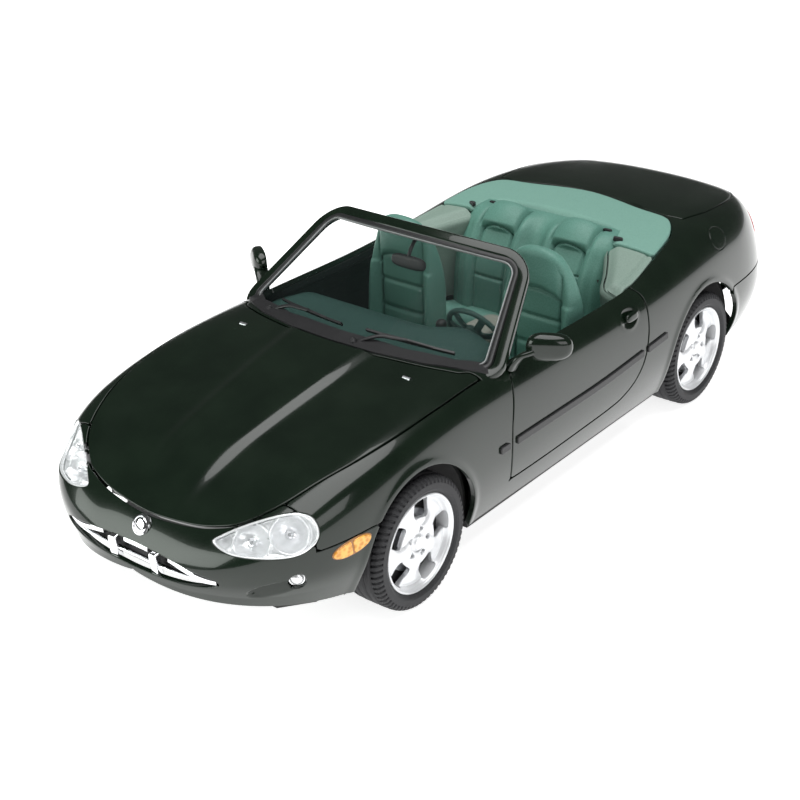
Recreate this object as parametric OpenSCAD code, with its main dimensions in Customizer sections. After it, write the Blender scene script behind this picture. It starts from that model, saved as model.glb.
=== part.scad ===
/* [Body] */
// Length over the bumpers
car_length = 264; // [250:1:280]
// Thickness of the cast skin
skin = 1.6; // [1.2:0.1:2]
// Shut line round the opening panels
gap = 0.35; // [0.25:0.05:0.6]

/* [Wheels] */
// Radius of the tyres
tyre_r = 18.4; // [17.5:0.1:18.8]
// Width of the tyres
tyre_w = 13.5; // [11:0.5:14]
// Radius of the rims
rim_r = 13.6; // [12.6:0.1:14]
// Outer face of the tyres from the centreline
track_face = 49; // [47:0.5:49.5]
// Front axle position along the car
front_axle_y = -77.8; // [-80:0.2:-76]
// Rear axle position along the car
rear_axle_y = 66; // [64:0.2:68]
// Radius of the front wheel arches
front_arch_r = 22.2; // [21.6:0.2:23]
// Radius of the rear wheel arches
rear_arch_r = 22.8; // [21.6:0.2:23.4]
// Radius of the axles
axle_r = 1.5; // [1.2:0.1:1.8]
// Running clearance of axles and pins, on the radius
running = 0.06; // [0.02:0.01:0.1]

/* [Steering] */
// Kingpin position from the centreline
kingpin_x = 33.5; // [32.5:0.5:34]
// Radius of the kingpins
kingpin_r = 1.1; // [0.9:0.1:1.4]
// Length of the steering arms and of the tie rod's throw
steer_arm = 7; // [6.5:0.5:7.5]
// Crank length at the foot of the steering column
crank = 6; // [5.5:0.25:6.5]
// Radius of the steering wheel
steering_r = 9.6; // [8.5:0.1:10.5]

/* [Hinges] */
// Radius of the hinge pins
pin_r = 0.8; // [0.6:0.1:1]
// Hood pivot, along the car and up
hood_pivot = [-38, 47];
// Trunk pivot, along the car and up
trunk_pivot = [62, 51];
// Door pivot, from the centreline and along the car
door_pivot = [45.2, -47];

/* [Cabin] */
// Distance of the seats from the centreline
seat_x = 25.2; // [24:0.2:26]
// Height of the front seats
seat_top = 65.8; // [62:0.2:67]

/* [Display base] */
// Radius of the two base screw holes
screw_r = 1.25; // [1:0.05:1.6]
// Front screw hole along the car
screw_front_y = -44; // [-48:1:-42]
// Rear screw hole along the car
screw_rear_y = 30; // [24:1:34]

/* [Hidden] */

// Body surface: guide values at thirteen stations, evenly spaced from nose to tail
widest_x = [47, 48.9, 49.6, 49.6, 49.6, 49.8, 50.0, 50.4, 50.9, 51.0, 50.2, 48.2, 46.0];
widest_z = [29, 25.0, 27.0, 28.5, 29.0, 29.0, 29.0, 29.5, 31.0, 33.0, 33.0, 31.0, 28.0];
sill_x = [39.6, 44.5, 46.0, 46.5, 46.5, 46.8, 46.8, 46.8, 47.0, 47.0, 46.0, 44.0, 41.0];
sill_z = [18.2, 15.6, 13.0, 12.5, 12.5, 12.5, 12.5, 12.5, 12.5, 13.0, 14.0, 15.0, 17.0];
shoulder_x = [48.6, 45.8, 46.6, 46.7, 46.4, 46.8, 47.2, 47.4, 47.4, 46.6, 45.0, 42.5, 40.0];
shoulder_z = [38.4, 44.0, 48.4, 49.9, 49.6, 49.2, 48.5, 49.0, 51.0, 53.0, 52.5, 50.0, 46.0];
fender_x = [36.0, 38.0, 40.0, 41.0, 41.5, 42.5, 43.0, 42.5, 41.5, 40.0, 38.5, 36.0, 33.0];
fender_z = [39.6, 44.7, 49.2, 51.9, 51.9, 51.1, 50.5, 51.0, 53.0, 56.5, 56.5, 54.0, 50.0];
deck_x = [22.0, 24.0, 26.0, 28.0, 29.0, 30.0, 30.0, 30.0, 29.0, 28.0, 27.0, 25.0, 22.0];
deck_z = [38.5, 42.5, 47.0, 51.0, 54.0, 54.0, 52.0, 53.0, 55.0, 57.0, 56.5, 54.5, 51.5];
top_z = [38.5, 43.5, 48.5, 52.5, 55.5, 55.0, 53.0, 54.0, 56.0, 57.5, 57.0, 55.0, 52.5];
half_length = car_length / 2;
nose_z = 20.5;
tail_z = 32;
rings = 36;
ring_steps = 12;
end_trim = 0.997;
// Outlines of the panels: plan outlines hold the left half, from the centreline round to it
hood_outline = [[0, -125.2], [12.6, -124], [21, -122.3], [26.2, -120.5], [33.2, -113.3],
    [37.4, -103.5], [40.6, -92], [42.6, -78.9], [42.9, -62.4], [42.7, -52], [42.7, -36], [0, -36]];
hood_rear_outline = [[0, -150], [60, -150], [60, -44], [43, -44.2], [38.5, -47.5], [28.9, -52.4],
    [14.5, -56], [0, -56.9]];
trunk_outline = [[0, 60], [30, 60], [35, 78], [36, 85], [35.8, 93], [34.4, 104], [31.5, 113],
    [27, 118.5], [18, 121.4], [0, 122.6]];
trunk_front_outline = [[0, 79], [12, 77.4], [21, 75.2], [29, 74.2], [33, 74.6], [60, 78], [60, 150],
    [0, 150]];
cabin_outline = [[0, -50.5], [20, -49], [34, -44.5], [40, -39.5], [42, -34], [42.3, 0], [42.8, 27],
    [42.6, 34], [40.2, 48], [37.8, 61], [34, 68.5], [31, 71.5], [20, 72.6], [0, 76.4]];
// Outline of the left door, along the car and up, where the body is widest
door_outline = [[-38.9, 19.5], [-20, 19.5], [0, 20.2], [12, 20.9], [17, 22], [22.5, 24.7],
    [27.5, 30], [29.9, 37], [31.2, 43], [32.4, 49], [32, 60], [-35.6, 60], [-37.2, 44], [-38.6, 34]];
door_draft = 0.55;
door_x = 49;
rear_edge_lean = 21;
front_edge_lean = 27;
// Grille mouth in the front view
mouth_half = 26.6;
mouth_low_z = 21.2;
mouth_high_z = 27.3;
// Headlamp: centre, half sizes, and the axes across and up its face
lamp_centre = [33.1, -118.2, 34.6];
lamp_half = [12.8, 5.1];
lamp_across = [0.716, 0.688, 0.117];
lamp_up = [-0.446, 0.322, 0.835];
tail_lamp_centre = [35.5, 121, 43];
tail_lamp_half = [8, 4.6];
tail_lamp_across = [0.84, -0.54, 0];
tail_lamp_up = [-0.15, -0.24, 0.96];
// Windscreen: base and header lines, each bowed forwards and up in the middle
screen_base = [44, -38.8, 50.3];
screen_head = [34.4, -11.2, 70.8];
base_bow = [11.2, 3.1];
head_bow = [5, 1.6];
screen_normal = [0, -0.593, 0.805];
glass_t = 1;
frame_w = 3.2;
frame_t = 2.2;
// Underside
plate_z = 10.6;
plate_t = 1.7;
plate_top = plate_z + plate_t;
arm_t = 1.4;
eye_r = 1.5;
pin_bore = pin_r + running;
axle_bore = axle_r + running;
wheel_mid = track_face - tyre_w / 2;
liner_x = 27.5;
liner_t = 1;
column_tilt = 27.6;
column_head = [21, -17, 47.6];
column_length = 51.9;
paint = [0.03, 0.06, 0.045];
leather = [0.25, 0.45, 0.40];
dark = [0.05, 0.05, 0.055];
chrome = [0.85, 0.86, 0.88];
steel = [0.6, 0.61, 0.63];

// Uniform cubic B-spline through a guide, carried on in a straight line at both ends
function guide(g, y) =
    let (last = len(g) - 1, s = last * (y / car_length + 0.5))
    let (i = max(0, min(floor(s), last - 1)), f = s - i)
    let (before = i > 0 ? g[i - 1] : 2 * g[0] - g[1])
    let (after = i < last - 1 ? g[i + 2] : 2 * g[last] - g[last - 1])
    (pow(1 - f, 3) * before + (3 * pow(f, 3) - 6 * pow(f, 2) + 4) * g[i]
        + (3 * f + 3 * pow(f, 2) - 3 * pow(f, 3) + 1) * g[i + 1] + pow(f, 3) * after) / 6;

// Control points of the half section at y, from the sill up to the centreline
function controls(y) =
    let (w = guide(widest_x, y), xs = guide(shoulder_x, y), xh = guide(deck_x, y))
    let (zb = guide(sill_z, y), zt = guide(top_z, y))
    [[guide(sill_x, y), zb], [w - 0.6, zb + 7], [w + 0.3, guide(widest_z, y)],
        [xs + 1.2, guide(shoulder_z, y) - 2], [guide(fender_x, y), guide(fender_z, y)],
        [xh, guide(deck_z, y)], [xh / 2, zt], [0, zt]];

// Clamped cubic B-spline over eight control points
function knot(i) = max(0, min(1, (i - 3) / 5));
function blend(q, level, i, v) =
    level == 0 ? q[i] :
    let (a = (v - knot(i)) / (knot(i + 4 - level) - knot(i)))
    (1 - a) * blend(q, level - 1, i - 1, v) + a * blend(q, level - 1, i, v);
function along(q, v) = blend(q, 3, min(floor(v * 5), 4) + 3, v);

// Factors that close the nose and the tail
function closing(d, reach, p, q) = pow(1 - pow(max(0, min(1, d / reach)), p), 1 / q);
function close_x(y) = closing(-73 - y, 59, 3.6, 2.9) * closing(y - 88, 44, 3, 2.8);
function close_above(y) = closing(-98 - y, 34, 2.2, 2.3) * closing(y - 112, 20, 2.6, 2.8);
function close_below(y) = closing(-116 - y, 16, 1.3, 5.9) * closing(y - 120, 12, 2.5, 5);

function on_ring(q, y, v) =
    let (p = along(q, v), mid = y < 0 ? nose_z : tail_z)
    [p[0] * close_x(y), y, mid + (p[1] - mid) * (p[1] > mid ? close_above(y) : close_below(y))];
function unit(v) = v / norm(v);

// Half ring of the body surface at y, moved inwards by depth
function half_ring(y, depth) =
    let (reach = half_length - 0.01, y0 = max(-reach, y - 0.4), y1 = min(reach, y + 0.4))
    let (q = controls(y), q0 = controls(y0), q1 = controls(y1))
    [for (i = [0:ring_steps])
        let (v = i / ring_steps, v0 = max(0, v - 0.01), v1 = min(1, v + 0.01))
        let (along_car = on_ring(q1, y1, v) - on_ring(q0, y0, v))
        let (round_car = on_ring(q, y, v1) - on_ring(q, y, v0))
        let (p = on_ring(q, y, v) - depth * unit(cross(along_car, round_car)))
        i == ring_steps ? [0, p[1], p[2]] : p];

function full_ring(y, depth, skirt) =
    let (half = half_ring(y, depth), n = len(half))
    let (low = [half[0][0], half[0][1], half[0][2] - skirt])
    concat([low], half, [for (i = [n - 2:-1:0]) [-half[i][0], half[i][1], half[i][2]]],
        [[-low[0], low[1], low[2]]]);

// Closed solid over a list of rings, each with the same number of points
module ring_solid(list) {
    n = len(list[0]);
    m = len(list);
    first = [for (k = [0:2]) [for (p = list[0]) p[k]] * [for (p = list[0]) 1] / n];
    last = [for (k = [0:2]) [for (p = list[m - 1]) p[k]] * [for (p = list[m - 1]) 1] / n];
    walls = [for (i = [0:m - 2], j = [0:n - 1])
        let (a = i * n + j, b = i * n + (j + 1) % n)
        each [[a, b, b + n], [a, b + n, a + n]]];
    caps = [for (j = [0:n - 1])
        let (k = (j + 1) % n)
        each [[k, j, m * n], [(m - 1) * n + j, (m - 1) * n + k, m * n + 1]]];
    polyhedron(concat([for (ring = list) each ring], [first, last]), concat(walls, caps));
}

// The body's outer form, moved inwards by depth and carried down by skirt
module body_form(depth = 0, skirt = 0.02) {
    ring_solid([for (i = [0:rings])
        full_ring(half_length * end_trim * sin(90 * (2 * i / rings - 1)), depth, skirt)]);
}

// The layer of the body between two depths
module layer(from, to) {
    difference() {
        body_form(from);
        body_form(to, 8);
    }
}

// A thin casting or moulding, made as one surface
module casting() {
    resize([0, 0, 0]) children();
}

// Both halves of a plan outline
module plan(outline, grow = 0) {
    offset(delta = grow)
        polygon(concat(outline, [for (i = [len(outline) - 1:-1:0]) [-outline[i][0], outline[i][1]]]));
}

// A column through the body over a plan outline, leaning about a line across the car
module column(outline, grow) {
    translate([0, 0, 25])
        linear_extrude(60) plan(outline, grow);
}

module leaning_column(outline, grow, lean, y, z) {
    translate([0, y, z])
        rotate([lean, 0, 0])
            translate([0, -y, -100])
                linear_extrude(200) plan(outline, grow);
}

module hood_cut(grow) {
    intersection() {
        column(hood_outline, grow);
        leaning_column(hood_rear_outline, grow, -rear_edge_lean, -50, 52);
    }
}

module trunk_cut(grow) {
    intersection() {
        column(trunk_outline, grow);
        leaning_column(trunk_front_outline, grow, front_edge_lean, 75, 57);
    }
}

// The left door's plug through the skin, smaller towards the inside
module door_cut(grow) {
    hull() {
        for (x = [38, 62])
            translate([x, 0, 0])
                rotate([90, 0, 90])
                    linear_extrude(0.01)
                        offset(r = grow + door_draft * (x - door_x), $fn = 16)
                            polygon(door_outline);
    }
}

module both_sides() {
    children();
    mirror([1, 0, 0]) children();
}

// Oval plug along the normal of a face given by its two axes
module oval_plug(centre, half, across, up, grow = 0) {
    n = cross(across, up);
    multmatrix([[across[0], up[0], n[0], centre[0]], [across[1], up[1], n[1], centre[1]],
        [across[2], up[2], n[2], centre[2]], [0, 0, 0, 1]])
        translate([0, 0, -12])
            linear_extrude(24)
                offset(delta = grow)
                    scale([half[0], half[1]])
                        circle(1, $fn = 36);
}

module lamp_plug(grow = 0) {
    oval_plug(lamp_centre, lamp_half, lamp_across, lamp_up, grow);
}

module tail_lamp_plug(grow = 0) {
    oval_plug(tail_lamp_centre, tail_lamp_half, tail_lamp_across, tail_lamp_up, grow);
}

// Grille mouth: a lens shape pushed through the nose
module mouth_plug(grow = 0) {
    high = (mouth_high_z - mouth_low_z) / 2;
    translate([0, -140, (mouth_high_z + mouth_low_z) / 2])
        rotate([-90, 0, 0])
            linear_extrude(22)
                offset(delta = grow)
                    polygon([for (a = [0:7.5:359])
                        [mouth_half * sign(cos(a)) * pow(abs(cos(a)), 0.87),
                            high * sign(sin(a)) * pow(abs(sin(a)), 0.87)]]);
}

module wheel_hole(y, r, from) {
    translate([from, y, tyre_r - 0.8])
        rotate([0, 90, 0])
            cylinder(r = r, h = 60, $fn = 72);
    translate([from, y - r, -10])
        cube([60, 2 * r, tyre_r + 9]);
}

module body_shell() {
    color(paint) casting()
        difference() {
            body_form();
            body_form(skin, 8);
            hood_cut(gap);
            trunk_cut(gap);
            column(cabin_outline, 0);
            mouth_plug();
            both_sides() {
                door_cut(gap);
                wheel_hole(front_axle_y, front_arch_r, liner_x);
                wheel_hole(rear_axle_y, rear_arch_r, liner_x);
                lamp_plug(0.15);
                tail_lamp_plug(0.1);
            }
        }
}

module hood() {
    color(paint) casting()
        intersection() {
            layer(0, skin);
            hood_cut(0);
        }
}

module trunk_lid() {
    color(paint) casting()
        intersection() {
            layer(0, skin);
            trunk_cut(0);
        }
}

module door_left() {
    color(paint) casting()
        difference() {
            intersection() {
                layer(0, skin);
                door_cut(0);
            }
            column(cabin_outline, 0);
        }
}

module door_right() {
    mirror([1, 0, 0]) door_left();
}

// Lining of the left door, set back from the door's own edges
module door_trim_left() {
    color(dark) casting()
        difference() {
            intersection() {
                layer(skin + 0.02, skin + 1.8);
                door_cut(-2.5);
            }
            column(cabin_outline, -1.2);
        }
}

module door_trim_right() {
    mirror([1, 0, 0]) door_trim_left();
}

// A block with rounded edges, centred on a point
module soft_block(centre, size, r = 1.5, tilt = [0, 0, 0]) {
    translate(centre)
        rotate(tilt)
            hull()
                for (x = [-1, 1], y = [-1, 1], z = [-1, 1])
                    translate([x * (size[0] / 2 - r), y * (size[1] / 2 - r), z * (size[2] / 2 - r)])
                        sphere(r, $fn = 8);
}

module door_handle_left() {
    color(paint)
        soft_block([48.4, 22.3, 45.4], [1.8, 8.6, 2.4], 0.6, [0, -20, 0]);
}

module door_handle_right() {
    mirror([1, 0, 0]) door_handle_left();
}

// Door mirror: a housing open at the back on a short foot
module mirror_left() {
    color(paint) {
        hull() {
            translate([50.2, -27.4, 55.2]) scale([0.8, 0.7, 1]) sphere(4.1, $fn = 20);
            translate([54.4, -24.6, 55.4]) scale([0.8, 0.7, 1]) sphere(3.6, $fn = 20);
        }
        hull() {
            translate([45.2, -31.5, 50.3]) sphere(1.3, $fn = 12);
            translate([48.6, -28, 53]) sphere(1.6, $fn = 12);
        }
    }
}

module mirror_right() {
    mirror([1, 0, 0]) mirror_left();
}

module mirror_glass_left() {
    color(chrome)
        translate([51.7, -23.9, 55.3])
            rotate([-90, 0, 26])
                linear_extrude(0.6)
                    scale([4.2, 2.9]) circle(1, $fn = 24);
}

module mirror_glass_right() {
    mirror([1, 0, 0]) mirror_glass_left();
}

// Strip laid on the skin between two places along the car, at a height that rises with y
module rub_strip(y0, y1, z0, z1) {
    casting()
        intersection() {
            layer(-0.6, 0.02);
            translate([40, 0, 0])
                rotate([90, 0, 90])
                    linear_extrude(20)
                        polygon([[y0, z0 - 0.5], [y1, z1 - 0.5], [y1, z1 + 0.5], [y0, z0 + 0.5]]);
        }
}

module rub_strip_door_left() {
    color(dark) rub_strip(-37.4, 27.5, 31, 33.4);
}

module rub_strip_door_right() {
    mirror([1, 0, 0]) rub_strip_door_left();
}

module rub_strips_body() {
    color(dark)
        both_sides() {
            rub_strip(-45, -39.6, 30.8, 31);
            rub_strip(30.8, 40.5, 33.5, 34);
        }
}

// Points across the windscreen's base or header, from the right to the left
function screen_line(corner, bow, s) =
    [corner[0] * s, corner[1] - bow[0] * (1 - s * s), corner[2] + bow[1] * (1 - s * s)];
function screen_point(s, h) =
    (1 - h) * screen_line(screen_base, base_bow, s) + h * screen_line(screen_head, head_bow, s);

// A straight-sided bar along a path
module sweep(path, profile, up) {
    last = len(path) - 1;
    ring_solid([for (i = [0:last])
        let (t = unit(path[min(i + 1, last)] - path[max(i - 1, 0)]))
        let (b = unit(cross(t, up)))
        [for (q = profile) path[i] + q[0] * b + q[1] * cross(b, t)]]);
}

function box_profile(w, h) = [[-w / 2, -h / 2], [w / 2, -h / 2], [w / 2, h / 2], [-w / 2, h / 2]];

// Path up one pillar, over the header and down the other pillar
header_steps = 12;
screen_path = concat([screen_point(-1, -0.06)], [for (h = [0.2, 0.5, 0.8, 0.93]) screen_point(-1, h)],
    [for (i = [1:header_steps - 1]) screen_point(2 * i / header_steps - 1, 1)],
    [for (h = [0.93, 0.8, 0.5, 0.2]) screen_point(1, h)], [screen_point(1, -0.06)]);

module windscreen_frame() {
    color(paint) casting()
        difference() {
            sweep(screen_path, box_profile(frame_w, frame_t), screen_normal);
            body_form(0.2, 0);
        }
}

// The pane between two shares of its width, as a solid of the given thickness
module pane(inset, low, high, thick, lift) {
    steps = 14;
    rise = 5;
    ring_solid([for (j = [0:rise])
        let (h = low + (high - low) * j / rise)
        concat([for (i = [0:steps])
            screen_point((2 * i / steps - 1) * inset, h) + lift * screen_normal],
            [for (i = [steps:-1:0])
                screen_point((2 * i / steps - 1) * inset, h) + (lift + thick) * screen_normal])]);
}

module windscreen_seal() {
    color(dark) casting()
        difference() {
            pane(0.955, 0.03, 0.965, 1.7, -0.85);
            pane(0.915, 0.075, 0.93, 3, -1.5);
            body_form(-0.1, 0);
        }
}

module windscreen_glass() {
    color([0.8, 0.9, 0.9, 0.3]) casting()
        pane(0.913, 0.077, 0.928, glass_t, -glass_t / 2);
}

// Black panel between the hood and the windscreen
module cowl_panel() {
    color(dark) casting()
        intersection() {
            layer(-0.55, 0.02);
            difference() {
                column([[0, -55.6], [14.5, -54.7], [28.9, -51], [38, -46.2], [43, -41.5], [42, -38],
                    [0, -38]], 0);
                column(cabin_outline, -0.4);
            }
        }
}

// Two wipers lying along the foot of the glass: a spindle, an arm and a blade each
module wipers() {
    color(dark)
        for (x = [-27, 6]) {
            start = screen_point(x / 42, -0.05) + 2.2 * screen_normal;
            bend = screen_point((x + 12) / 42, 0.13) + 2.1 * screen_normal;
            tip = screen_point((x + 25) / 42, 0.13) + 1.7 * screen_normal;
            translate(start - [0, 0, 2.2]) cylinder(r = 1, h = 2.8, $fn = 24);
            sweep([start, (start + bend) / 2, bend], box_profile(1, 0.7), screen_normal);
            sweep([bend - (tip - bend), (bend + tip) / 2 - (tip - bend) / 4, tip],
                box_profile(0.9, 1), screen_normal);
        }
}

module rear_view_mirror() {
    color(dark) {
        soft_block([0, -20.2, 65], [12, 1.8, 4], 0.8, [-12, 0, 0]);
        translate([0, -20, 66])
            rotate([-38, 0, 0])
                cylinder(r = 0.6, h = 6.6, $fn = 16);
    }
}

module sun_visors() {
    color(dark)
        both_sides()
            soft_block([14.5, -10.7, 68.3], [16, 5.6, 1], 0.4, [-28, 0, 0]);
}

// Folded roof cover: a padded deck round the back of the cabin
rear_opening = [[0, 20], [37, 20], [38, 30], [37, 43], [30, 52], [18, 54], [0, 54]];

module tonneau_cover() {
    color(leather) casting()
        difference() {
            intersection() {
                layer(-0.6, 2);
                column(cabin_outline, -0.2);
            }
            column(rear_opening, 0);
            translate([-60, -60, 20]) cube([120, 87.4, 60]);
        }
}

// Way through for the steering column
module column_hole() {
    translate(column_head)
        rotate([90 + column_tilt, 0, 0])
            cylinder(r = 2.2, h = column_length, $fn = 32);
}

// Floor, tunnel, sides and bulkheads of the cabin in one moulding
tub_front = -31;
tub_rear = 41;
tub_half = 39.5;
tub_wall = 1.2;
tub_floor = plate_top + 0.1;
tunnel_half = 7;
tunnel_top = 23;

module interior_tub() {
    length = tub_rear - tub_front;
    color(leather)
        difference() {
            union() {
                translate([-tub_half, tub_front, tub_floor]) cube([2 * tub_half, length, 11]);
                translate([-tub_half, tub_front, tub_floor]) cube([2 * tub_half, tub_wall, 23]);
                translate([-26, tub_rear - tub_wall, tub_floor]) cube([52, tub_wall, 33]);
            }
            difference() {
                translate([-tub_half + tub_wall, tub_front + tub_wall, tub_floor + tub_wall])
                    cube([2 * (tub_half - tub_wall), length - 2 * tub_wall, 40]);
                translate([-tunnel_half, tub_front, tub_floor]) cube([2 * tunnel_half, length, 10.5]);
            }
            translate([-tunnel_half + tub_wall, tub_front - 1, tub_floor - 1])
                cube([2 * (tunnel_half - tub_wall), length + 2, 9]);
            column_hole();
            for (x = [-1, 1])
                translate([x * tub_half, tub_rear, tub_floor])
                    cube([27, 24, 60], center = true);
        }
}

// Dash top under the windscreen, the fascia below it and the hood over the dials
module dashboard() {
    color(leather)
        difference() {
            union() {
                translate([0, 0, 49.2])
                    linear_extrude(1.6)
                        plan([[0, -46.5], [18, -45], [32, -40.5], [38, -35], [39, -24.5], [0, -24.5]]);
                translate([-39, -31, 37]) cube([78, 6.5, 12.4]);
                soft_block([column_head[0], -25.5, 50], [19, 9, 5], 1.8);
                soft_block([-column_head[0], -27, 50.2], [24, 7, 3.4], 1.2);
            }
            column_hole();
        }
}

module centre_console() {
    color(leather) {
        translate([-5.2, -24, tub_floor + 10.6]) cube([10.4, 50, 4]);
        soft_block([0, 12, 29.5], [9.6, 22, 5], 1.2);
        soft_block([0, -23, 34], [10, 3.4, 20], 1);
    }
    color(chrome) {
        translate([0, -6, 26]) cylinder(r = 0.7, h = 7, $fn = 20);
        translate([0, -6, 34]) sphere(1.8, $fn = 24);
    }
}

// Front seat: cushion, back, side bolsters and the headrest in one moulding
module seat_slice(s) {
    translate([0, s[0], s[1]])
        rotate([-2, 0, 0])
            linear_extrude(0.05)
                offset(r = 1.2, $fn = 20)
                    square([s[2] - 2.4, s[3] - 2.4], center = true);
}

module seat(x) {
    // The back in slices from the cushion up: place along the car, height, width, thickness
    slices = [[13, 20, 21, 7.6], [13.4, 30, 24, 8.6], [13.4, 42, 24.2, 8.8], [13.1, 49.5, 23, 8.4],
        [12.6, 55, 19.6, 7.6], [11.4, 60, 15, 6.4], [10, 64, 8.6, 4.6], [9.4, seat_top, 3.4, 2.8]];
    casting() translate([x, 0, 0]) {
        soft_block([0, 1.5, 21.4], [22.6, 26, 13.6], 2.6, [3, 0, 0]);
        for (i = [0:len(slices) - 2])
            hull() {
                seat_slice(slices[i]);
                seat_slice(slices[i + 1]);
            }
        for (side = [-1, 1]) {
            soft_block([side * 9.6, 0, 26.2], [4.2, 24, 8.5], 2, [4, 0, 0]);
            soft_block([side * 9.8, 9, 36], [4, 7, 24], 1.8, [-10, 0, 0]);
        }
    }
}

module seat_left() {
    color(leather) seat(seat_x);
}

module seat_right() {
    color(leather) seat(-seat_x);
}

// Rear bench moulded with two bucket places
module rear_seat() {
    color(leather) casting()
        difference() {
            union() {
                soft_block([0, 34.5, 23.7], [50, 10, 19.6], 2);
                for (x = [-13.4, 13.4]) {
                    soft_block([x, 44.2, 39.5], [25, 6.4, 27], 2.4, [-10, 0, 0]);
                    soft_block([x, 46.6, 52], [13, 5.6, 7.6], 2.2, [-10, 0, 0]);
                }
            }
            translate([-26.1, tub_rear - tub_wall - 0.1, 10]) cube([52.2, tub_wall + 0.2, 36.5]);
            translate([-tunnel_half - 0.1, 20, 10]) cube([2 * tunnel_half + 0.2, 30, 13]);
        }
}

// Rim, hub, spokes and the column down to its crank
module steering_wheel() {
    translate(column_head)
        rotate([-(90 - column_tilt), 0, 0])
            rotate([180, 0, 0]) {
                color(dark) {
                    rotate_extrude($fn = 48)
                        translate([steering_r - 0.8, 0]) circle(0.8, $fn = 16);
                    translate([0, 0, -0.4]) cylinder(r = 2.6, h = 1.8, $fn = 32);
                    for (a = [0, 120, 240])
                        rotate([0, 0, 90 + a])
                            translate([1.5, -0.9, -0.2]) cube([steering_r - 3, 1.8, 0.9]);
                }
                color(steel) {
                    cylinder(r = 1.2, h = column_length, $fn = 32);
                    translate([-1.2, -crank, column_length - 2]) cube([2.4, crank + 1, 2]);
                    translate([0, -crank, column_length - 2]) cylinder(r = pin_r, h = 8.2, $fn = 24);
                }
            }
}

// Bent arm between a panel and its pivot, as a flat strip with an eye
module bent_arm(path, thick) {
    difference() {
        linear_extrude(thick)
            union() {
                for (i = [0:len(path) - 2])
                    hull() {
                        translate(path[i]) circle(arm_t / 2, $fn = 16);
                        translate(path[i + 1]) circle(arm_t / 2, $fn = 16);
                    }
                circle(eye_r, $fn = 32);
            }
        translate([0, 0, -1]) cylinder(r = pin_bore, h = thick + 2, $fn = 32);
    }
}

hood_arm_x = 29;
trunk_arm_x = 21;
door_arm_z = [22, 31];
arm_w = 2.4;

module hinge_arms_hood() {
    color(steel)
        for (x = [-hood_arm_x, hood_arm_x])
            translate([x + arm_w / 2, hood_pivot[0], hood_pivot[1]])
                rotate([90, 0, -90])
                    bent_arm([[20.5, 4.8], [20.5, -9.6], [7, -9.6], [0, 0]], arm_w);
}

module hinge_arms_trunk() {
    color(steel)
        for (x = [-trunk_arm_x, trunk_arm_x])
            translate([x - arm_w / 2, trunk_pivot[0], trunk_pivot[1]])
                rotate([90, 0, 90])
                    bent_arm([[17.5, 4.2], [17.5, -11], [6, -11], [0, 0]], arm_w);
}

module hinge_arms_door_left() {
    color(steel)
        for (z = door_arm_z)
            translate([door_pivot[0], door_pivot[1], z])
                bent_arm([[0.3, 13.6], [-7, 13.2], [-7, 5], [0, 0]], arm_w);
}

module hinge_arms_door_right() {
    mirror([1, 0, 0]) hinge_arms_door_left();
}

// Pins of all the hinges with the posts that carry them
post_top = 33;
block_top = plate_z + 12.2;

module hinge_brackets() {
    color(dark)
        both_sides() {
            for (side = [-1, 1])
                translate([hood_arm_x + side * 2.3 - 0.6, hood_pivot[0] - 2, post_top])
                    cube([1.2, 4, hood_pivot[1] - post_top + 1.5]);
            translate([hood_arm_x - 2.6, hood_pivot[0], hood_pivot[1]])
                rotate([0, 90, 0]) cylinder(r = pin_r, h = 5.2, $fn = 24);
            translate([hood_arm_x - 2.9, hood_pivot[0] - 2, plate_top])
                cube([5.8, 4, post_top - plate_top + 0.1]);
            for (side = [-1, 1])
                translate([trunk_arm_x + side * 2.3 - 0.6, trunk_pivot[0] - 2, 36])
                    cube([1.2, 4, trunk_pivot[1] - 34.2]);
            translate([trunk_arm_x - 2.6, trunk_pivot[0], trunk_pivot[1]])
                rotate([0, 90, 0]) cylinder(r = pin_r, h = 5.2, $fn = 24);
            translate([trunk_arm_x - 2.9, trunk_pivot[0] - 2, block_top]) cube([5.8, 4, 36.1 - block_top]);
            translate([door_pivot[0], door_pivot[1], 16.5])
                cylinder(r = pin_r, h = 18.8, $fn = 24);
            translate([door_pivot[0] - 3.6, door_pivot[1] - 1.6, 16])
                cube([4, 3.2, door_arm_z[0] - 16.3]);
            translate([door_pivot[0] - 3.6, door_pivot[1] - 1.6, plate_top])
                cube([3, 3.2, 16.1 - plate_top]);
        }
}

// Open luggage box under the trunk lid
module trunk_tub() {
    color(dark)
        difference() {
            translate([-26, 84, 30]) cube([52, 30, 20]);
            translate([-24.8, 85.2, 31.2]) cube([49.6, 27.6, 30]);
        }
}

// Base plate with its bosses, bearing blocks and valances
plate_outline = [[0, -113], [30, -113], [36, -105], [36, -101], [liner_x, -101], [liner_x, -54.5],
    [45.4, -54.5], [45.4, 42.5], [liner_x, 42.5], [liner_x, 89.5], [41, 89.5], [41, 104], [32, 113],
    [0, 113]];

module screw_boss(y) {
    translate([0, y, plate_z]) cylinder(r = 3, h = 8, $fn = 40);
}

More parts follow.
